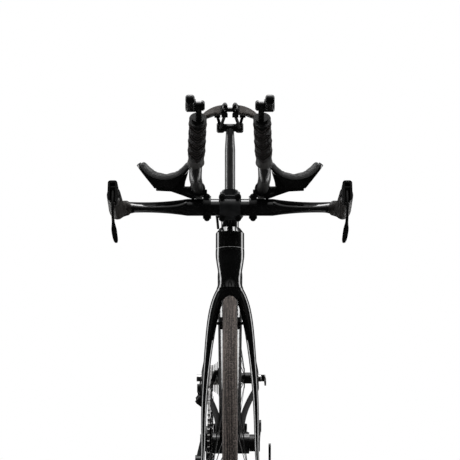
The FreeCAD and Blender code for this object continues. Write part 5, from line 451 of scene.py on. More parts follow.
# %% Anodised alloy
def anodised(name, key, metallic, tone, gloss, grain):
    """Grained metal; tone, gloss and grain each start with the scale of their noise."""
    metal = Finish(name, metallic=metallic)
    clouds, dark, light = tone
    metal.colours(metal.noise(clouds), dark, light)
    spread, smooth, dull = gloss
    metal.rough(metal.noise(spread), smooth, dull)
    scale, depth, strength = grain
    metal.bump(metal.noise(scale, 2.0), depth, strength)
    metal.keep(key)


BLASTED = (900.0, 0.00003, 0.4)
anodised("black_anodised", "satin_black", 0.35, (55.0, (0.3, grey(0.004)), (0.75, grey(0.011))),
         (140.0, 0.20, 0.32), BLASTED)
anodised("stem_anodised", "stem_black", 0.2, (70.0, (0.3, grey(0.012, -0.06)), (0.75, grey(0.026, -0.06))),
         (140.0, 0.28, 0.40), BLASTED)
anodised("grey_anodised", "grey_alloy", 0.8, (70.0, (0.3, grey(0.11)), (0.7, grey(0.19))),
         (240.0, 0.25, 0.38), (1200.0, 0.00002, 0.3))
print("anodised finishes: 3")

# %% [markdown]
# ### Steel
# Chain, sprockets, rails and bolts are bright or blackened steel. Clouds of an oily tint vary the
# colour, and a noise that is stretched into fine scratches varies the gloss.

# %% Steel
SCRATCH_STRETCH = (300.0, 1500.0, 1500.0)


def steel(name, dark, light, smooth, dull, warm=0.02):
    """Worn bare steel."""
    metal = Finish(name, metallic=1.0)
    metal.colours(metal.noise(90.0, 4.0), (0.25, grey(dark, warm)), (0.75, grey(light)))
    metal.rough(metal.noise(1.0, 3.0, metal.mapped(SCRATCH_STRETCH)), smooth, dull)
    metal.bump(metal.noise(1400.0, 2.0), 0.00001, 0.3)
    metal.keep(name)


steel("bright_steel", 0.36, 0.55, 0.18, 0.34)
steel("chain_steel", 0.16, 0.34, 0.26, 0.46, 0.05)
steel("dark_steel", 0.020, 0.050, 0.30, 0.45)
steel("bolt_steel", 0.07, 0.16, 0.22, 0.36)
print("steel finishes: 4")

# %% [markdown]
# ### Plastic and rubber
# Moulded plastic has a fine pitted skin, and a housing's sheath is nearly the same without the pits.
# Grip rubber is duller: near black on the grip, paler on the smooth collar at its foot and on the
# raised ribs. The collar is found by its distance along the grip, as the spacer's foot was.

# %% Plastic
plastic = Finish("moulded_plastic")
plastic.colours(plastic.noise(60.0), (0.3, grey(0.003)), (0.7, grey(0.007)))
plastic.rough(plastic.noise(220.0), 0.16, 0.26)
plastic.bump(plastic.cells(1100.0), 0.00002, 0.3)
plastic.keep("black_plastic")

sheath = Finish("housing_sheath")
sheath.colours(sheath.noise(120.0), (0.3, grey(0.003)), (0.7, grey(0.007)))
sheath.rough(sheath.noise(500.0), 0.18, 0.30)
sheath.bump(sheath.noise(900.0), 0.00002, 0.3)
sheath.keep("housing")
print("plastic finishes: 2")

# %% Grip rubber
GRIP_TIP = Vector((0.053, -0.69261, 0.99585))
GRIP_AHEAD = Vector((-0.04928, -0.74224, 0.66832))
GRIP_LENGTH = 0.112
COLLAR = 0.015
COLLAR_EDGE = 0.0005
grip_foot = GRIP_TIP.dot(GRIP_AHEAD) - GRIP_LENGTH
rubber = Finish("grip_rubber")
grip_place = rubber.place()
sideways = rubber.math("ABSOLUTE", grip_place["X"])
along_grip = rubber.weighted((sideways, GRIP_AHEAD.x), (grip_place["Y"], GRIP_AHEAD.y),
                             (grip_place["Z"], GRIP_AHEAD.z))
collar = rubber.rise(along_grip, grip_foot + COLLAR - COLLAR_EDGE, grip_foot + COLLAR, 1.0, 0.0)
rubber.colours(rubber.weighted((rubber.noise(200.0, 4.0), 0.5), (collar, 0.5)),
               (0.15, grey(0.0025)), (0.4, grey(0.007)), (0.75, grey(0.040, 0.05)))
rubber.rough(rubber.noise(320.0), 0.50, 0.70)
rubber.bump(rubber.noise(1500.0, 2.0), 0.00004, 0.5)
rubber.set("Specular IOR Level", 0.25)
rubber.keep("grip_rubber")

ridge = Finish("grip_ridge")
ridge.colours(ridge.noise(260.0, 4.0), (0.3, (0.020, 0.016, 0.015)), (0.7, (0.042, 0.035, 0.032)))
ridge.rough(ridge.noise(320.0), 0.45, 0.62)
ridge.set("Specular IOR Level", 0.35)
ridge.keep("grip_ridge")
print("rubber finishes: 2")

# %% [markdown]
# ### Bar tape, armrest knit and saddle cover
# The horns wear a dotted, creased tape, the armrests a knitted foam fabric, the saddle a microfibre
# with a faint grain that is darker and glossier at the nose. Their patterns are about a millimetre
# across. The armrest foam also shows thin dark lines that follow the curve of the trough: the distance
# from the trough's middle line gives them.

# %% Horn tape
tape = Finish("horn_tape")
creases = tape.noise(1.0, 5.0, tape.mapped((90.0, 240.0, 120.0)))
tape.colours(creases, (0.3, (0.012, 0.0105, 0.0095)), (0.6, (0.030, 0.026, 0.023)),
             (0.75, (0.075, 0.066, 0.060)))
tape.rough(creases, 0.30, 0.55)
tape.bump(tape.math("ADD", tape.cells(900.0), creases), 0.00025, 0.5)
tape.keep("grip_tape")
print("made", tape.material.name)

# %% Armrest knit
PAD_X = 0.122
TROUGH_Z = 0.93513
TROUGH_RADIUS = 0.0546
HALF_LINE_GAP = 0.0040
LINE_DARK = 0.0007
LINE_PALE = 0.0016
KNIT_SCALE = 420.0
KNIT_WOBBLE = 0.6
knit = Finish("pad_knit", roughness=0.8)
rows = knit.waves(KNIT_SCALE, "X", KNIT_WOBBLE)
columns = knit.waves(KNIT_SCALE, "Y", KNIT_WOBBLE)
loops = knit.math("MULTIPLY", rows, columns)
pad_place = knit.place()
off_middle = knit.math("SUBTRACT", knit.math("ABSOLUTE", pad_place["X"]), PAD_X)
under_middle = knit.math("SUBTRACT", pad_place["Z"], TROUGH_Z)
inside = knit.math("SUBTRACT", TROUGH_RADIUS, knit.distance(off_middle, under_middle))
off_line = knit.rise(knit.math("PINGPONG", inside, HALF_LINE_GAP), LINE_DARK, LINE_PALE)
woven = knit.weighted((loops, 0.35), (knit.noise(80.0), 0.25))
knit.colours(knit.math("MULTIPLY", knit.math("ADD", woven, 0.4), off_line),
             (0.05, grey(0.003)), (0.40, grey(0.040)), (0.8, grey(0.095)))
knit.bump(loops, 0.0003, 0.6)
knit.set("Sheen Weight", 0.15).set("Sheen Roughness", 0.5).set("Specular IOR Level", 0.3)
knit.keep("pad_foam")
print("made", knit.material.name)

# %% Saddle cover
NOSE_BACK = 0.140
NOSE_FADE = 0.014
cover = Finish("saddle_cover")
behind_nose = cover.rise(cover.place()["Y"], NOSE_BACK, NOSE_BACK + NOSE_FADE, 0.0, 0.75)
shade = cover.math("MULTIPLY_ADD", cover.noise(45.0), 0.25, behind_nose)
cover.colours(shade, (0.1, grey(0.003)), (0.75, (0.014, 0.0115, 0.0100)), (1.0, (0.042, 0.034, 0.029)))
cover.rough(shade, 0.22, 0.55)
cover.bump(cover.cells(900.0), 0.00008, 0.5)
cover.set("Specular IOR Level", 0.3)
cover.keep("saddle_cover")
print("made", cover.material.name)

# %% [markdown]
# ### Tyres and rims
# A tyre's tread and a rim's brake track run round the hub. Moving the pattern's centre to the hub gives
# two useful values: the turn round the axle, along which the tread is worn in streaks, and the distance
# from it, which tells the brake track from the rest of the rim.

# %% Tyres
FRONT_HUB = Vector(JOINTS["front_wheel_spin"]["pos_m"])
REAR_HUB = Vector(JOINTS["rear_wheel_spin"]["pos_m"])
TREAD_MM = 336.0
SIPE_LEAN = 1100.0
SIPE_PITCH = 2.2
GROOVE_PITCH = 3600.0
STREAKS_ACROSS = 620.0
STREAKS_ROUND = 3.0


def from_hub(made, hub):
    """X, Y and Z measured from a hub; X runs along the axle."""
    return made.place(made.mapped(shift=-hub))


def tyre_finish(name, key, hub):
    """Brown-grey rubber, worn in streaks along the tread, with fine slanted sipes."""
    made = Finish(name, roughness=0.75)
    place = from_hub(made, hub)
    turn = made.math("ARCTAN2", place["Z"], place["Y"])
    slant = made.weighted((turn, TREAD_MM), (made.math("ABSOLUTE", place["X"]), SIPE_LEAN))
    sipes = made.math("SINE", made.math("MULTIPLY", slant, SIPE_PITCH))
    grooves = made.math("SINE", made.math("MULTIPLY", place["X"], GROOVE_PITCH))
    flat = made.node("ShaderNodeCombineXYZ", {"X": made.math("MULTIPLY", place["X"], STREAKS_ACROSS),
                                              "Y": made.math("MULTIPLY", turn, STREAKS_ROUND)})
    streaks = made.noise(1.0, 4.0, flat.outputs[0])
    specks = made.noise(430.0, 4.0)
    made.colours(made.weighted((streaks, 0.50), (specks, 0.50)), (0.40, (0.015, 0.0125, 0.0112)),
                 (0.50, (0.062, 0.051, 0.046)), (0.60, (0.205, 0.170, 0.150)))
    tread = made.math("MULTIPLY", sipes, grooves)
    made.bump(made.math("MULTIPLY_ADD", specks, 0.6, tread), 0.00025, 0.6)
    made.set("Specular IOR Level", 0.3)
    made.keep(key)


tyre_finish("front_tyre_rubber", "front_tyre", FRONT_HUB)
tyre_finish("rear_tyre_rubber", "rear_tyre", REAR_HUB)
print("tyre finishes: 2")

# %% Rims
TRACK_START = 0.3005
TRACK_END = 0.3015
TRACK_RINGS = 9000.0


def rim_finish(name, key, hub):
    """Satin dark carbon with a slightly paler, finely ringed brake track near its edge."""
    made = Finish(name)
    place = from_hub(made, hub)
    radius = made.distance(place["Y"], place["Z"])
    rings = made.math("SINE", made.math("MULTIPLY", radius, TRACK_RINGS))
    track = made.rise(radius, TRACK_START, TRACK_END)
    fibres = made.noise(1.0, 4.0, made.mapped((500.0, 60.0, 60.0)))
    mixed = made.weighted((fibres, 0.7), (track, 0.3))
    made.colours(mixed, (0.2, grey(0.004)), (0.6, grey(0.010)), (1.0, grey(0.024)))
    made.rough(mixed, 0.40, 0.50)
    made.bump(made.math("MULTIPLY", rings, track), 0.00002, 0.4)
    made.set("Coat Weight", 0.6).set("Coat Roughness", 0.30)
    made.keep(key)


rim_finish("front_rim_carbon", "front_rim", FRONT_HUB)
rim_finish("rear_rim_carbon", "rear_rim", REAR_HUB)
print("rim finishes: 2")

# %% [markdown]
# ### Which piece wears what
# Each node's finish follows its material slot in the record. A few nodes that share a slot there differ
# in detail, and are named.

# %% Dress the CAD nodes
OWN_FINISH = {
    "seatpost": "seatpost_carbon", "extensions": "extension_carbon", "headset_extension": "spacer_lacquer",
    "front_tyre": "front_tyre", "rear_tyre": "rear_tyre", "front_rim": "front_rim", "rear_rim": "rear_rim",
    "chain": "chain_steel", "cassette": "chain_steel", "cockpit_bolts": "bolt_steel",
    "stem": "stem_black", "stem_faceplate": "stem_black", "saddle_rails": "dark_steel",
    "front_spokes": "dark_steel", "rear_spokes": "dark_steel",
    "steering_housings": "housing", "rear_shift_housing": "housing",
}
SLOT_FINISH = {"steel": "bright_steel", "black_steel": "dark_steel"}
SLOT_OF = {part["node"]: part["material_slot"] for part in frame["record"]["subparts"]}
for node_name, node in NODES.items():
    slot_name = SLOT_OF[node_name]
    key = OWN_FINISH.get(node_name) or SLOT_FINISH.get(slot_name, slot_name)
    for held in node.material_slots:
        held.material = FINISHES[key]
print("dressed nodes:", len(NODES))

# %% [markdown]
# ## Cable housings
# Housings are stiff sleeves that leave the bars, swing round the stem and dive into ports on the top
# tube and the fork; one more makes a loop at the rear derailleur. A tube of straight runs and arcs
# looks like bent wire, so each one here is a smooth NURBS line that the points of its route pull along,
# made round by the curve's bevel.

# %% Routes of the housings
BAR = Vector((0.0, -0.39747, 0.82902))
SHIFT_ROUTE = ((0.0605, 0.06116, 0.02223), (0.0605, 0.08667, 0.01772), (0.053, 0.115, 0.006),
               (0.038, 0.134, -0.010), (0.022, 0.146, -0.028), (0.009, 0.14861, -0.0457),
               (0.009, 0.16533, -0.06562))
REAR_BRAKE_ROUTE = ((0.0265, 0.0162, 0.0), (0.027, 0.042, -0.001), (0.027, 0.072, -0.009),
                    (0.0245, 0.100, -0.023), (0.016, 0.127, -0.035), (0.006, 0.150, -0.041),
                    (0.0, 0.16261, -0.0457), (0.0, 0.17933, -0.06562))
FRONT_BRAKE_ROUTE = ((-0.0265, 0.0162, 0.0), (-0.0265, 0.038, -0.001), (-0.0265, 0.060, -0.008),
                     (-0.0255, 0.077, -0.021), (-0.024, 0.086, -0.035), (-0.023, 0.090, -0.0475))
REAR_LOOP = ((-0.0686, 0.5078, 0.336), (-0.0696, 0.5236, 0.3385), (-0.0721, 0.5406, 0.3355),
             (-0.0756, 0.5536, 0.324), (-0.0774, 0.5581, 0.3022))
SHIFT_RADIUS = 0.0020
BRAKE_RADIUS = 0.0025


def from_bar(route, sign=1):
    """Route points measured from the middle of the base bar."""
    return [BAR + on_side(point, sign) for point in route]


crossing_routes = [(from_bar(SHIFT_ROUTE), SHIFT_RADIUS), (from_bar(SHIFT_ROUTE, -1), SHIFT_RADIUS),
                   (from_bar(REAR_BRAKE_ROUTE), BRAKE_RADIUS)]
front_brake_routes = [(from_bar(FRONT_BRAKE_ROUTE), BRAKE_RADIUS)]
rear_loop_routes = [(REAR_LOOP, SHIFT_RADIUS)]
print("routes that cross the steering:", len(crossing_routes))

# %% Housings
def evaluated_mesh(holder):
    """Mesh that a curve, a node tree or modifiers make."""
    graph = bpy.context.evaluated_depsgraph_get()
    graph.update()
    return bpy.data.meshes.new_from_object(holder.evaluated_get(graph))


def solid_from(holder, name):
    """Plain smooth mesh object from what an object makes; the maker is removed."""
    mesh = evaluated_mesh(holder)
    mesh.name = name
    mesh.shade_smooth()
    bpy.data.objects.remove(holder)
    return add_object(name, mesh)


def wear(mesh, key):
    """Puts one finish on a whole mesh."""
    mesh.materials.clear()
    mesh.materials.append(FINISHES[key])


def housing_tubes(name, routes):
    """One mesh of round tubes, each along the smooth line of its (points, radius)."""
    line = bpy.data.curves.new(name, "CURVE")
    line.dimensions = "3D"
    line.bevel_depth = BRAKE_RADIUS
    line.bevel_resolution = 4
    line.resolution_u = 10
    line.use_fill_caps = True
    for points, radius in routes:
        spline = line.splines.new("NURBS")
        spline.points.add(len(points) - 1)
        for knot, place in zip(spline.points, points):
            knot.co = (*place, 1.0)
            knot.radius = radius / BRAKE_RADIUS
        spline.order_u = 3
        spline.use_endpoint_u = True
    return solid_from(add_object(name + "_line", line), name)


crossing = housing_tubes("crossing_housings", crossing_routes)
front_brake_line = housing_tubes("front_brake_housing", front_brake_routes)
rear_loop = housing_tubes("rear_loop_housing", rear_loop_routes)
for tube in (crossing, front_brake_line, rear_loop):
    wear(tube.data, "housing")
    print(tube.name, "faces:", len(tube.data.polygons))
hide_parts("steering_housings")
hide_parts("steering_housings")
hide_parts("rear_shift_housing")
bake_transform(crossing)
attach(front_brake_line, "fork")
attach(rear_loop, "frame")

# %% [markdown]
# ## Ribs of the extension grips
# The rubber grips carry rows of raised chevrons that point down at the rider's palm. Each rib is a ring
# bent into a V. One rule gives them all: a row of points along the grip, a unit circle on each point
# scaled to the grip's scalloped radius, then a lift that grows with the distance from the middle.
# Geometry Nodes fit this well, because the count, the pitch and the lift stay open to change.

# %% Helper for geometry nodes
class Tree:
    """A new geometry node tree with short calls for its nodes."""

    def __init__(self, name):
        self.group = bpy.data.node_groups.new(name, "GeometryNodeTree")
        self.group.interface.new_socket("Geometry", in_out="OUTPUT", socket_type="NodeSocketGeometry")
        self.entry = self.group.nodes.new("NodeGroupInput")
        self.exit = self.group.nodes.new("NodeGroupOutput")
        self.values = {}

    def number(self, name, value, kind="NodeSocketFloat"):
        """Named input of the tree; returns its socket."""
        socket = self.group.interface.new_socket(name, in_out="INPUT", socket_type=kind)
        self.values[socket.identifier] = value
        return self.entry.outputs[name]

    def step(self, kind, inputs=None):
        """First output of a new node."""
        return add_node(self.group, kind, inputs).outputs[0]

    def vector(self, **parts):
        """Vector from its X, Y and Z; what isn't given is 0."""
        return self.step("ShaderNodeCombineXYZ", parts)

    def math(self, operation, *terms):
        """One step of arithmetic."""
        return arithmetic(self.group, operation, *terms)

    def finish(self, geometry, material):
        """Ends the tree in real geometry with one material."""
        real = self.step("GeometryNodeRealizeInstances", {"Geometry": geometry})
        dressed = self.step("GeometryNodeSetMaterial", {"Geometry": real, "Material": material})
        self.group.links.new(dressed, self.exit.inputs[0])

    def grow(self, name):
        """Plain mesh object that the tree makes."""
        holder = add_object(name + "_maker", bpy.data.meshes.new(name + "_maker"))
        modifier = holder.modifiers.new("grow", "NODES")
        modifier.node_group = self.group
        for identifier, value in self.values.items():
            modifier[identifier] = value
        return solid_from(holder, name)


print("tree helper ready")

# %% Grip ribs
GRIP_RADIUS = 0.0147
SCALLOPS = 5
SCALLOP_DEPTH = 0.0012
RIBS = 14
RIB_LIFT = 0.011
RIB_THICKNESS = 0.0010
RIB_POINTS = 40
RIB_SIDES = 6


def grip_rib_tree():
    """Tree of V-shaped ribs on both grips."""
    tree = Tree("grip_ribs")
    count = tree.number("Ribs", RIBS, "NodeSocketInt")
    pitch = tree.number("Pitch", (GRIP_LENGTH - COLLAR - RIB_LIFT) / RIBS)
    radius = tree.number("Radius", GRIP_RADIUS)
    dip = tree.number("Scallop depth", SCALLOP_DEPTH)
    lift = tree.number("Lift", RIB_LIFT)
    bead = tree.number("Rib thickness", RIB_THICKNESS)
    index = tree.step("GeometryNodeInputIndex")
    height = tree.math("MULTIPLY_ADD", index, pitch, COLLAR)
    share = tree.math("FRACT", tree.math("MULTIPLY", height, SCALLOPS / GRIP_LENGTH))
    side = tree.math("MULTIPLY_ADD", share, 2.0, -1.0)
    hollow = tree.math("SUBTRACT", 1.0, tree.math("MULTIPLY", side, side))
    size = tree.math("SUBTRACT", radius, tree.math("MULTIPLY", dip, hollow))
    row = tree.step("GeometryNodePoints", {"Count": count, "Position": tree.vector(Z=height)})
    ring = tree.step("GeometryNodeCurvePrimitiveCircle", {"Resolution": RIB_POINTS, "Radius": 1.0})
    on_points = {"Points": row, "Instance": ring, "Scale": tree.vector(X=size, Y=size, Z=1.0)}
    rings = tree.step("GeometryNodeInstanceOnPoints", on_points)
    loose = tree.step("GeometryNodeRealizeInstances", {"Geometry": rings})
    position = tree.step("GeometryNodeInputPosition")
    across = tree.math("ABSOLUTE", tree.step("ShaderNodeSeparateXYZ", {"Vector": position}))
    raised = tree.math("MULTIPLY", tree.math("DIVIDE", across, radius), lift)
    bent = tree.step("GeometryNodeSetPosition", {"Geometry": loose, "Offset": tree.vector(Z=raised)})
    profile = tree.step("GeometryNodeCurvePrimitiveCircle", {"Resolution": RIB_SIDES, "Radius": bead})
    ribs = tree.step("GeometryNodeCurveToMesh", {"Curve": bent, "Profile Curve": profile})
    joined = add_node(tree.group, "GeometryNodeJoinGeometry")
    for sign in (1, -1):
        ahead = on_side(GRIP_AHEAD, sign)
        start = on_side(GRIP_TIP, sign) - ahead * GRIP_LENGTH
        turn = ahead.to_track_quat("Z", "Y").to_euler()
        on_grip = {"Geometry": ribs, "Translation": start, "Rotation": turn}
        tree.group.links.new(tree.step("GeometryNodeTransform", on_grip), joined.inputs[0])
    tree.finish(joined.outputs[0], FINISHES["grip_ridge"])
    return tree


grip_ribs = grip_rib_tree().grow("grip_ribs")
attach(grip_ribs, "fork")
print("grip rib faces:", len(grip_ribs.data.polygons))

# %% [markdown]
# ## Nipples
# Every spoke ends in a nipple at the rim. The nipples of a wheel are one small tapered shape on a
# circle of points, so a tree makes them; every second one sits a little to the other side of the rim.

# %% Nipples
RIM_INNER = 0.266
NIPPLE_LENGTH = 0.007
NIPPLE_RADIUS = 0.0021
NIPPLE_TIP = 0.0014
NIPPLE_SIDES = 10
NIPPLE_ASIDE = 0.0012
NIPPLE_SUNK = 0.0003
WHEELS = (("front_wheel", FRONT_HUB, 20), ("rear_wheel", REAR_HUB, 24))


def nipple_tree(name, hub, count):
    """Tree of nipples round the inside of one rim."""
    tree = Tree(name)
    spokes = tree.number("Spokes", count, "NodeSocketInt")
    width = tree.number("Nipple radius", NIPPLE_RADIUS)
    index = tree.step("GeometryNodeInputIndex")
    turn = tree.math("MULTIPLY", index, tree.math("DIVIDE", 2 * math.pi, spokes))
    aside = tree.math("MULTIPLY_ADD", tree.math("MODULO", index, 2.0), -2 * NIPPLE_ASIDE, NIPPLE_ASIDE)
    radius = RIM_INNER - NIPPLE_LENGTH / 2 + NIPPLE_SUNK
    ahead = tree.math("MULTIPLY", tree.math("SINE", turn), radius)
    upward = tree.math("MULTIPLY", tree.math("COSINE", turn), radius)
    place = tree.vector(X=aside, Y=ahead, Z=upward)
    ring = tree.step("GeometryNodePoints", {"Count": spokes, "Position": place})
    taper = {"Vertices": NIPPLE_SIDES, "Radius Top": width, "Radius Bottom": NIPPLE_TIP,
             "Depth": NIPPLE_LENGTH}
    body = tree.step("GeometryNodeMeshCone", taper)
    to_middle = {"Geometry": body, "Translation": (0, 0, -NIPPLE_LENGTH / 2)}
    middle = tree.step("GeometryNodeTransform", to_middle)
    spin = tree.vector(X=tree.math("MULTIPLY", turn, -1.0))
    on_points = {"Points": ring, "Instance": middle, "Rotation": spin}
    heads = tree.step("GeometryNodeInstanceOnPoints", on_points)
    moved = tree.step("GeometryNodeTransform", {"Geometry": heads, "Translation": hub})
    tree.finish(moved, FINISHES["grey_alloy"])
    return tree


for wheel, hub, count in WHEELS:
    nipples = nipple_tree(wheel + "_nipple_ring", hub, count).grow(wheel + "_nipples")
    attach(nipples, wheel)
    print(wheel, "nipple faces:", len(nipples.data.polygons))

# %% [markdown]
# ## Valves
# Each wheel has one valve: a thin stem with a nut and a cap. Such a turned piece is an outline spun
# round its axis. With one valve to a wheel a node tree has nothing to repeat, so rings of points are
# joined directly.

# %% Valves
VALVE_OUTLINE = ((0.0030, 0.0), (0.0030, 0.024), (0.0046, 0.0245), (0.0046, 0.0275), (0.0030, 0.028),
                 (0.0030, 0.036), (0.0024, 0.0385))
VALVE_SIDES = 16
VALVE_SUNK = 0.001


def skinned(made, rows):
    """Closes rows of points into a skin, with a face over each end."""
    for low, high in zip(rows, rows[1:]):
        for corners in zip(low, low[1:] + low[:1], high[1:] + high[:1], high):
            made.faces.new(corners)
    made.faces.new(list(reversed(rows[0])))
    made.faces.new(rows[-1])
    bmesh.ops.recalc_face_normals(made, faces=made.faces)


def mesh_from(made, name):
    """Plain mesh from a bmesh, which is freed."""
    mesh = bpy.data.meshes.new(name)
    made.to_mesh(mesh)
    made.free()
    return mesh


def valve(name, hub, turn):
    """Turned valve stem with its nut and cap, pointing at the hub."""
    made = bmesh.new()
    outward = Vector((0.0, math.sin(turn), math.cos(turn)))
    across = Vector((1.0, 0.0, 0.0))
    along = outward.cross(across)
    base = hub + outward * (RIM_INNER + VALVE_SUNK)
    angles = [2 * math.pi * k / VALVE_SIDES for k in range(VALVE_SIDES)]
    sides = [across * math.cos(angle) + along * math.sin(angle) for angle in angles]
    rows = [[made.verts.new(base - outward * depth + side * radius) for side in sides]
            for radius, depth in VALVE_OUTLINE]
    skinned(made, rows)
    mesh = mesh_from(made, name)
    wear(mesh, "satin_black")
    return add_object(name, mesh)


for wheel, hub, count in WHEELS:
    stem = valve(wheel + "_valve", hub, math.pi + math.pi / count)
    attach(stem, wheel)
    print(stem.name, "faces:", len(stem.data.polygons))

# %% [markdown]
# ## Armrest arms
# A forged arm leaves each clamp as a deep root, thins towards the cup and carries it on a broad foot.
# Its side outline says it all, so it is drawn once, extruded across its depth and bevelled. The outline
# wraps the plain CAD arm, so the seats on clamp and cup stay where they are.

# %% Arms
ARM_OUTLINE = ((0.0735, 0.8672), (0.0855, 0.8672), (0.0842, 0.8760), (0.0800, 0.8890), (0.0776, 0.8975),
               (0.1010, 0.8710), (0.1380, 0.8668), (0.1380, 0.8606), (0.1100, 0.8592), (0.0890, 0.8520),
               (0.0760, 0.8470), (0.0665, 0.8442), (0.0650, 0.8500))
ARM_FRONT = -0.4085
ARM_BACK = -0.3720
ARM_BEVEL = 0.0012


def arms(name):
    """Both arms as one bevelled extrusion of the outline."""
    made = bmesh.new()
    for sign in (1, -1):
        front = [made.verts.new((sign * x, ARM_FRONT, z)) for x, z in ARM_OUTLINE]
        back = [made.verts.new((sign * x, ARM_BACK, z)) for x, z in ARM_OUTLINE]
        skinned(made, [back, front])
    mesh = mesh_from(made, name + "_maker")
    wear(mesh, "satin_black")
    holder = add_object(name + "_maker", mesh)
    bevel = holder.modifiers.new("edges", "BEVEL")
    bevel.width = ARM_BEVEL
    bevel.segments = 3
    return solid_from(holder, name)


armrest_arms = arms("armrest_arms")
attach(armrest_arms, "fork")
print("arm faces:", len(armrest_arms.data.polygons))

# %% [markdown]
# ## Saddle and armrest pads
# Foam under a tight cover swells a little between its edges. Blender's cloth does that: the pad is
# remeshed into even small faces, drawn in a little, and blown up by a gentle pressure with its
# underside held. A cap on how far a point may move keeps the pad inside its place. Seams come last, as
# fine grooves, because the remesh would wipe them out.

# %% Helpers for pads
MERGE_GAP = 0.00001
FACE_SIZE = 0.0035
DRAW_IN = 0.0008
PRESSURE = 4.0
COVER_STIFFNESS = 25.0
CLOTH_STEPS = 20


def merged_copy(node_name, name):
    """Copy of a CAD node's mesh with its loose triangles joined."""
    made = bmesh.new()
    made.from_mesh(NODES[node_name].data)
    bmesh.ops.remove_doubles(made, verts=made.verts, dist=MERGE_GAP)
    return add_object(name, mesh_from(made, name))


def settle(piece):
    """Makes a piece's modifiers real."""
    mesh = evaluated_mesh(piece)
    piece.modifiers.clear()
    piece.data = mesh


def remeshed(piece):
    """Even small faces in place of the CAD triangles."""
    modifier = piece.modifiers.new("even", "REMESH")
    modifier.mode = "VOXEL"
    modifier.voxel_size = FACE_SIZE
    settle(piece)


def blown_up(piece, cap, held):
    """Draws the skin in, then lets cloth swell it; held(vertex) marks what stays put."""
    mesh = piece.data
    group = piece.vertex_groups.new(name="held")
    group.add([v.index for v in mesh.vertices if held(v)], 1.0, "REPLACE")
    inward = [v.co - v.normal * (0.0 if held(v) else DRAW_IN) for v in mesh.vertices]
    for vertex, place in zip(mesh.vertices, inward):
        vertex.co = place
    cloth = piece.modifiers.new("cover", "CLOTH").settings
    cloth.use_pressure = True
    cloth.uniform_pressure_force = PRESSURE
    cloth.vertex_group_mass = "held"
    cloth.quality = 5
    cloth.tension_stiffness = COVER_STIFFNESS
    cloth.compression_stiffness = COVER_STIFFNESS
    cloth.effector_weights.gravity = 0.0
    for moment in range(1, CLOTH_STEPS + 1):
        bpy.context.scene.frame_set(moment)
    swollen = evaluated_mesh(piece)
    piece.modifiers.clear()
    for vertex, place in zip(mesh.vertices, swollen.vertices):
        step = place.co - vertex.co
        vertex.co += step * min(1.0, cap / max(step.length, 1e-9))
    bpy.data.meshes.remove(swollen)
    bpy.context.scene.frame_set(1)


def smoothed(piece):
    """One level of subdivision, made real."""
    modifier = piece.modifiers.new("round", "SUBSURF")
    modifier.levels = 1
    modifier.render_levels = 1
    settle(piece)
    piece.data.shade_smooth()


def grooved(piece, share_at, depth):
    """Presses a seam in: share_at(vertex) is 1 on the seam's line and 0 away from it."""
    moves = [(v, v.normal * (depth * share_at(v))) for v in piece.data.vertices]
    for vertex, move in moves:
        vertex.co -= move


print("pad helpers ready")

# %% [markdown]
# ### Saddle padding
# The saddle is split along its middle, and its two noses rise and close up a little towards their tips.
# An easing share, 1 at the tip and 0 behind, moves the points before the pad is blown up. The seam lies
# where the skin turns over from the top to the side, so the slope of the skin finds it.

# %% Saddle padding
NOSE_TIP = 0.111
NOSE_LIFT = 0.0065
NOSE_CLOSE = 0.0025
NOSE_LENGTH = 0.060
SADDLE_UNDERSIDE = -0.25
SADDLE_SWELL = 0.0016
SADDLE_SEAM_SLOPE = 0.10
SADDLE_SEAM_SPREAD = 0.10
SADDLE_SEAM_DEPTH = 0.0006


def nose_share(y):
    """1 at the tip of the nose, easing to 0 behind it."""
    behind_tip = min(1.0, max(0.0, (y - NOSE_TIP) / NOSE_LENGTH))
    return 1.0 - behind_tip * behind_tip * (3.0 - 2.0 * behind_tip)


def saddle_seam(vertex):
    """1 where the skin turns over at the saddle's edge, 0 away from it."""
    return math.exp(-((vertex.normal.z - SADDLE_SEAM_SLOPE) / SADDLE_SEAM_SPREAD) ** 2)


saddle = merged_copy("saddle_padding", "saddle_cushion")
remeshed(saddle)
for vertex in saddle.data.vertices:
    share_here = nose_share(vertex.co.y)
    vertex.co.z += NOSE_LIFT * share_here
    vertex.co.x -= math.copysign(NOSE_CLOSE * share_here, vertex.co.x)
blown_up(saddle, SADDLE_SWELL, lambda v: v.normal.z < SADDLE_UNDERSIDE)
smoothed(saddle)
grooved(saddle, saddle_seam, SADDLE_SEAM_DEPTH)
wear(saddle.data, "saddle_cover")
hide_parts("saddle_padding")
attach(saddle, "frame")
print("saddle faces:", len(saddle.data.polygons))

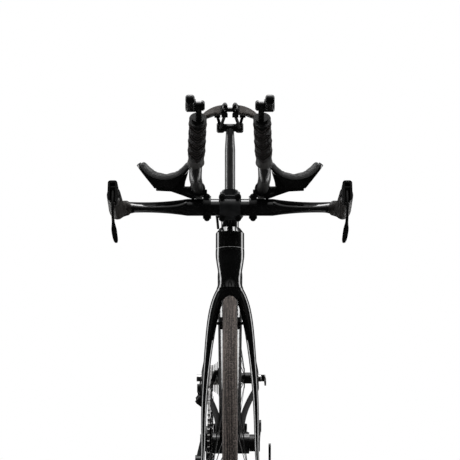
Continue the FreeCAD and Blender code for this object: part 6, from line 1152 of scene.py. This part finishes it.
# %% [markdown]
# ### Nose bridge
# The two noses of the split saddle stand on one short moulded bridge. It is a rounded block: a cube is
# cut into a grid, and its points are drawn onto a squarish oval. A bevelled box would keep flat sides,
# which moulded pieces seldom have.

# %% Nose bridge
BRIDGE_MIDDLE = Vector((0.0, 0.134, 1.0115))
BRIDGE_HALF = Vector((0.0135, 0.016, 0.0050))
BRIDGE_CUTS = 3
BRIDGE_POWER = 4.0


def rounded_block(name, middle, half):
    """Cube whose points are drawn onto a squarish oval."""
    made = bmesh.new()
    bmesh.ops.create_cube(made, size=2.0)
    bmesh.ops.subdivide_edges(made, edges=made.edges[:], cuts=BRIDGE_CUTS, use_grid_fill=True)
    for vertex in made.verts:
        reach_here = sum(abs(value) ** BRIDGE_POWER for value in vertex.co) ** (1.0 / BRIDGE_POWER)
        vertex.co = middle + half * (vertex.co / reach_here)
    mesh = mesh_from(made, name)
    mesh.shade_smooth()
    return add_object(name, mesh)


bridge = rounded_block("saddle_nose_bridge", BRIDGE_MIDDLE, BRIDGE_HALF)
wear(bridge.data, "black_plastic")
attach(bridge, "frame")
print("bridge faces:", len(bridge.data.polygons))

# %% [markdown]
# ### Armrest pads
# The pads line the cups with foam and swell in the same way. Their seams run along both sides of the
# trough, at a fixed distance from its middle line, and only the upper side shows them.

# %% Armrest pads
PAD_UNDERSIDE = -0.1
PAD_SWELL = 0.0018
PAD_SEAM_OVER = 0.022
PAD_SEAM_WIDTH = 0.0016
PAD_SEAM_DEPTH = 0.0011


def pad_seam(vertex):
    """1 on the seams along both sides of a trough, 0 away from them and underneath."""
    off_seam = abs(abs(vertex.co.x) - PAD_X) - PAD_SEAM_OVER
    return max(0.0, vertex.normal.z) * math.exp(-(off_seam / PAD_SEAM_WIDTH) ** 2)


pads = merged_copy("armrest_pads", "armrest_cushions")
remeshed(pads)
blown_up(pads, PAD_SWELL, lambda v: v.normal.z < PAD_UNDERSIDE)
smoothed(pads)
grooved(pads, pad_seam, PAD_SEAM_DEPTH)
wear(pads.data, "pad_foam")
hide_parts("armrest_pads")
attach(pads, "fork")
print("pad faces:", len(pads.data.polygons))
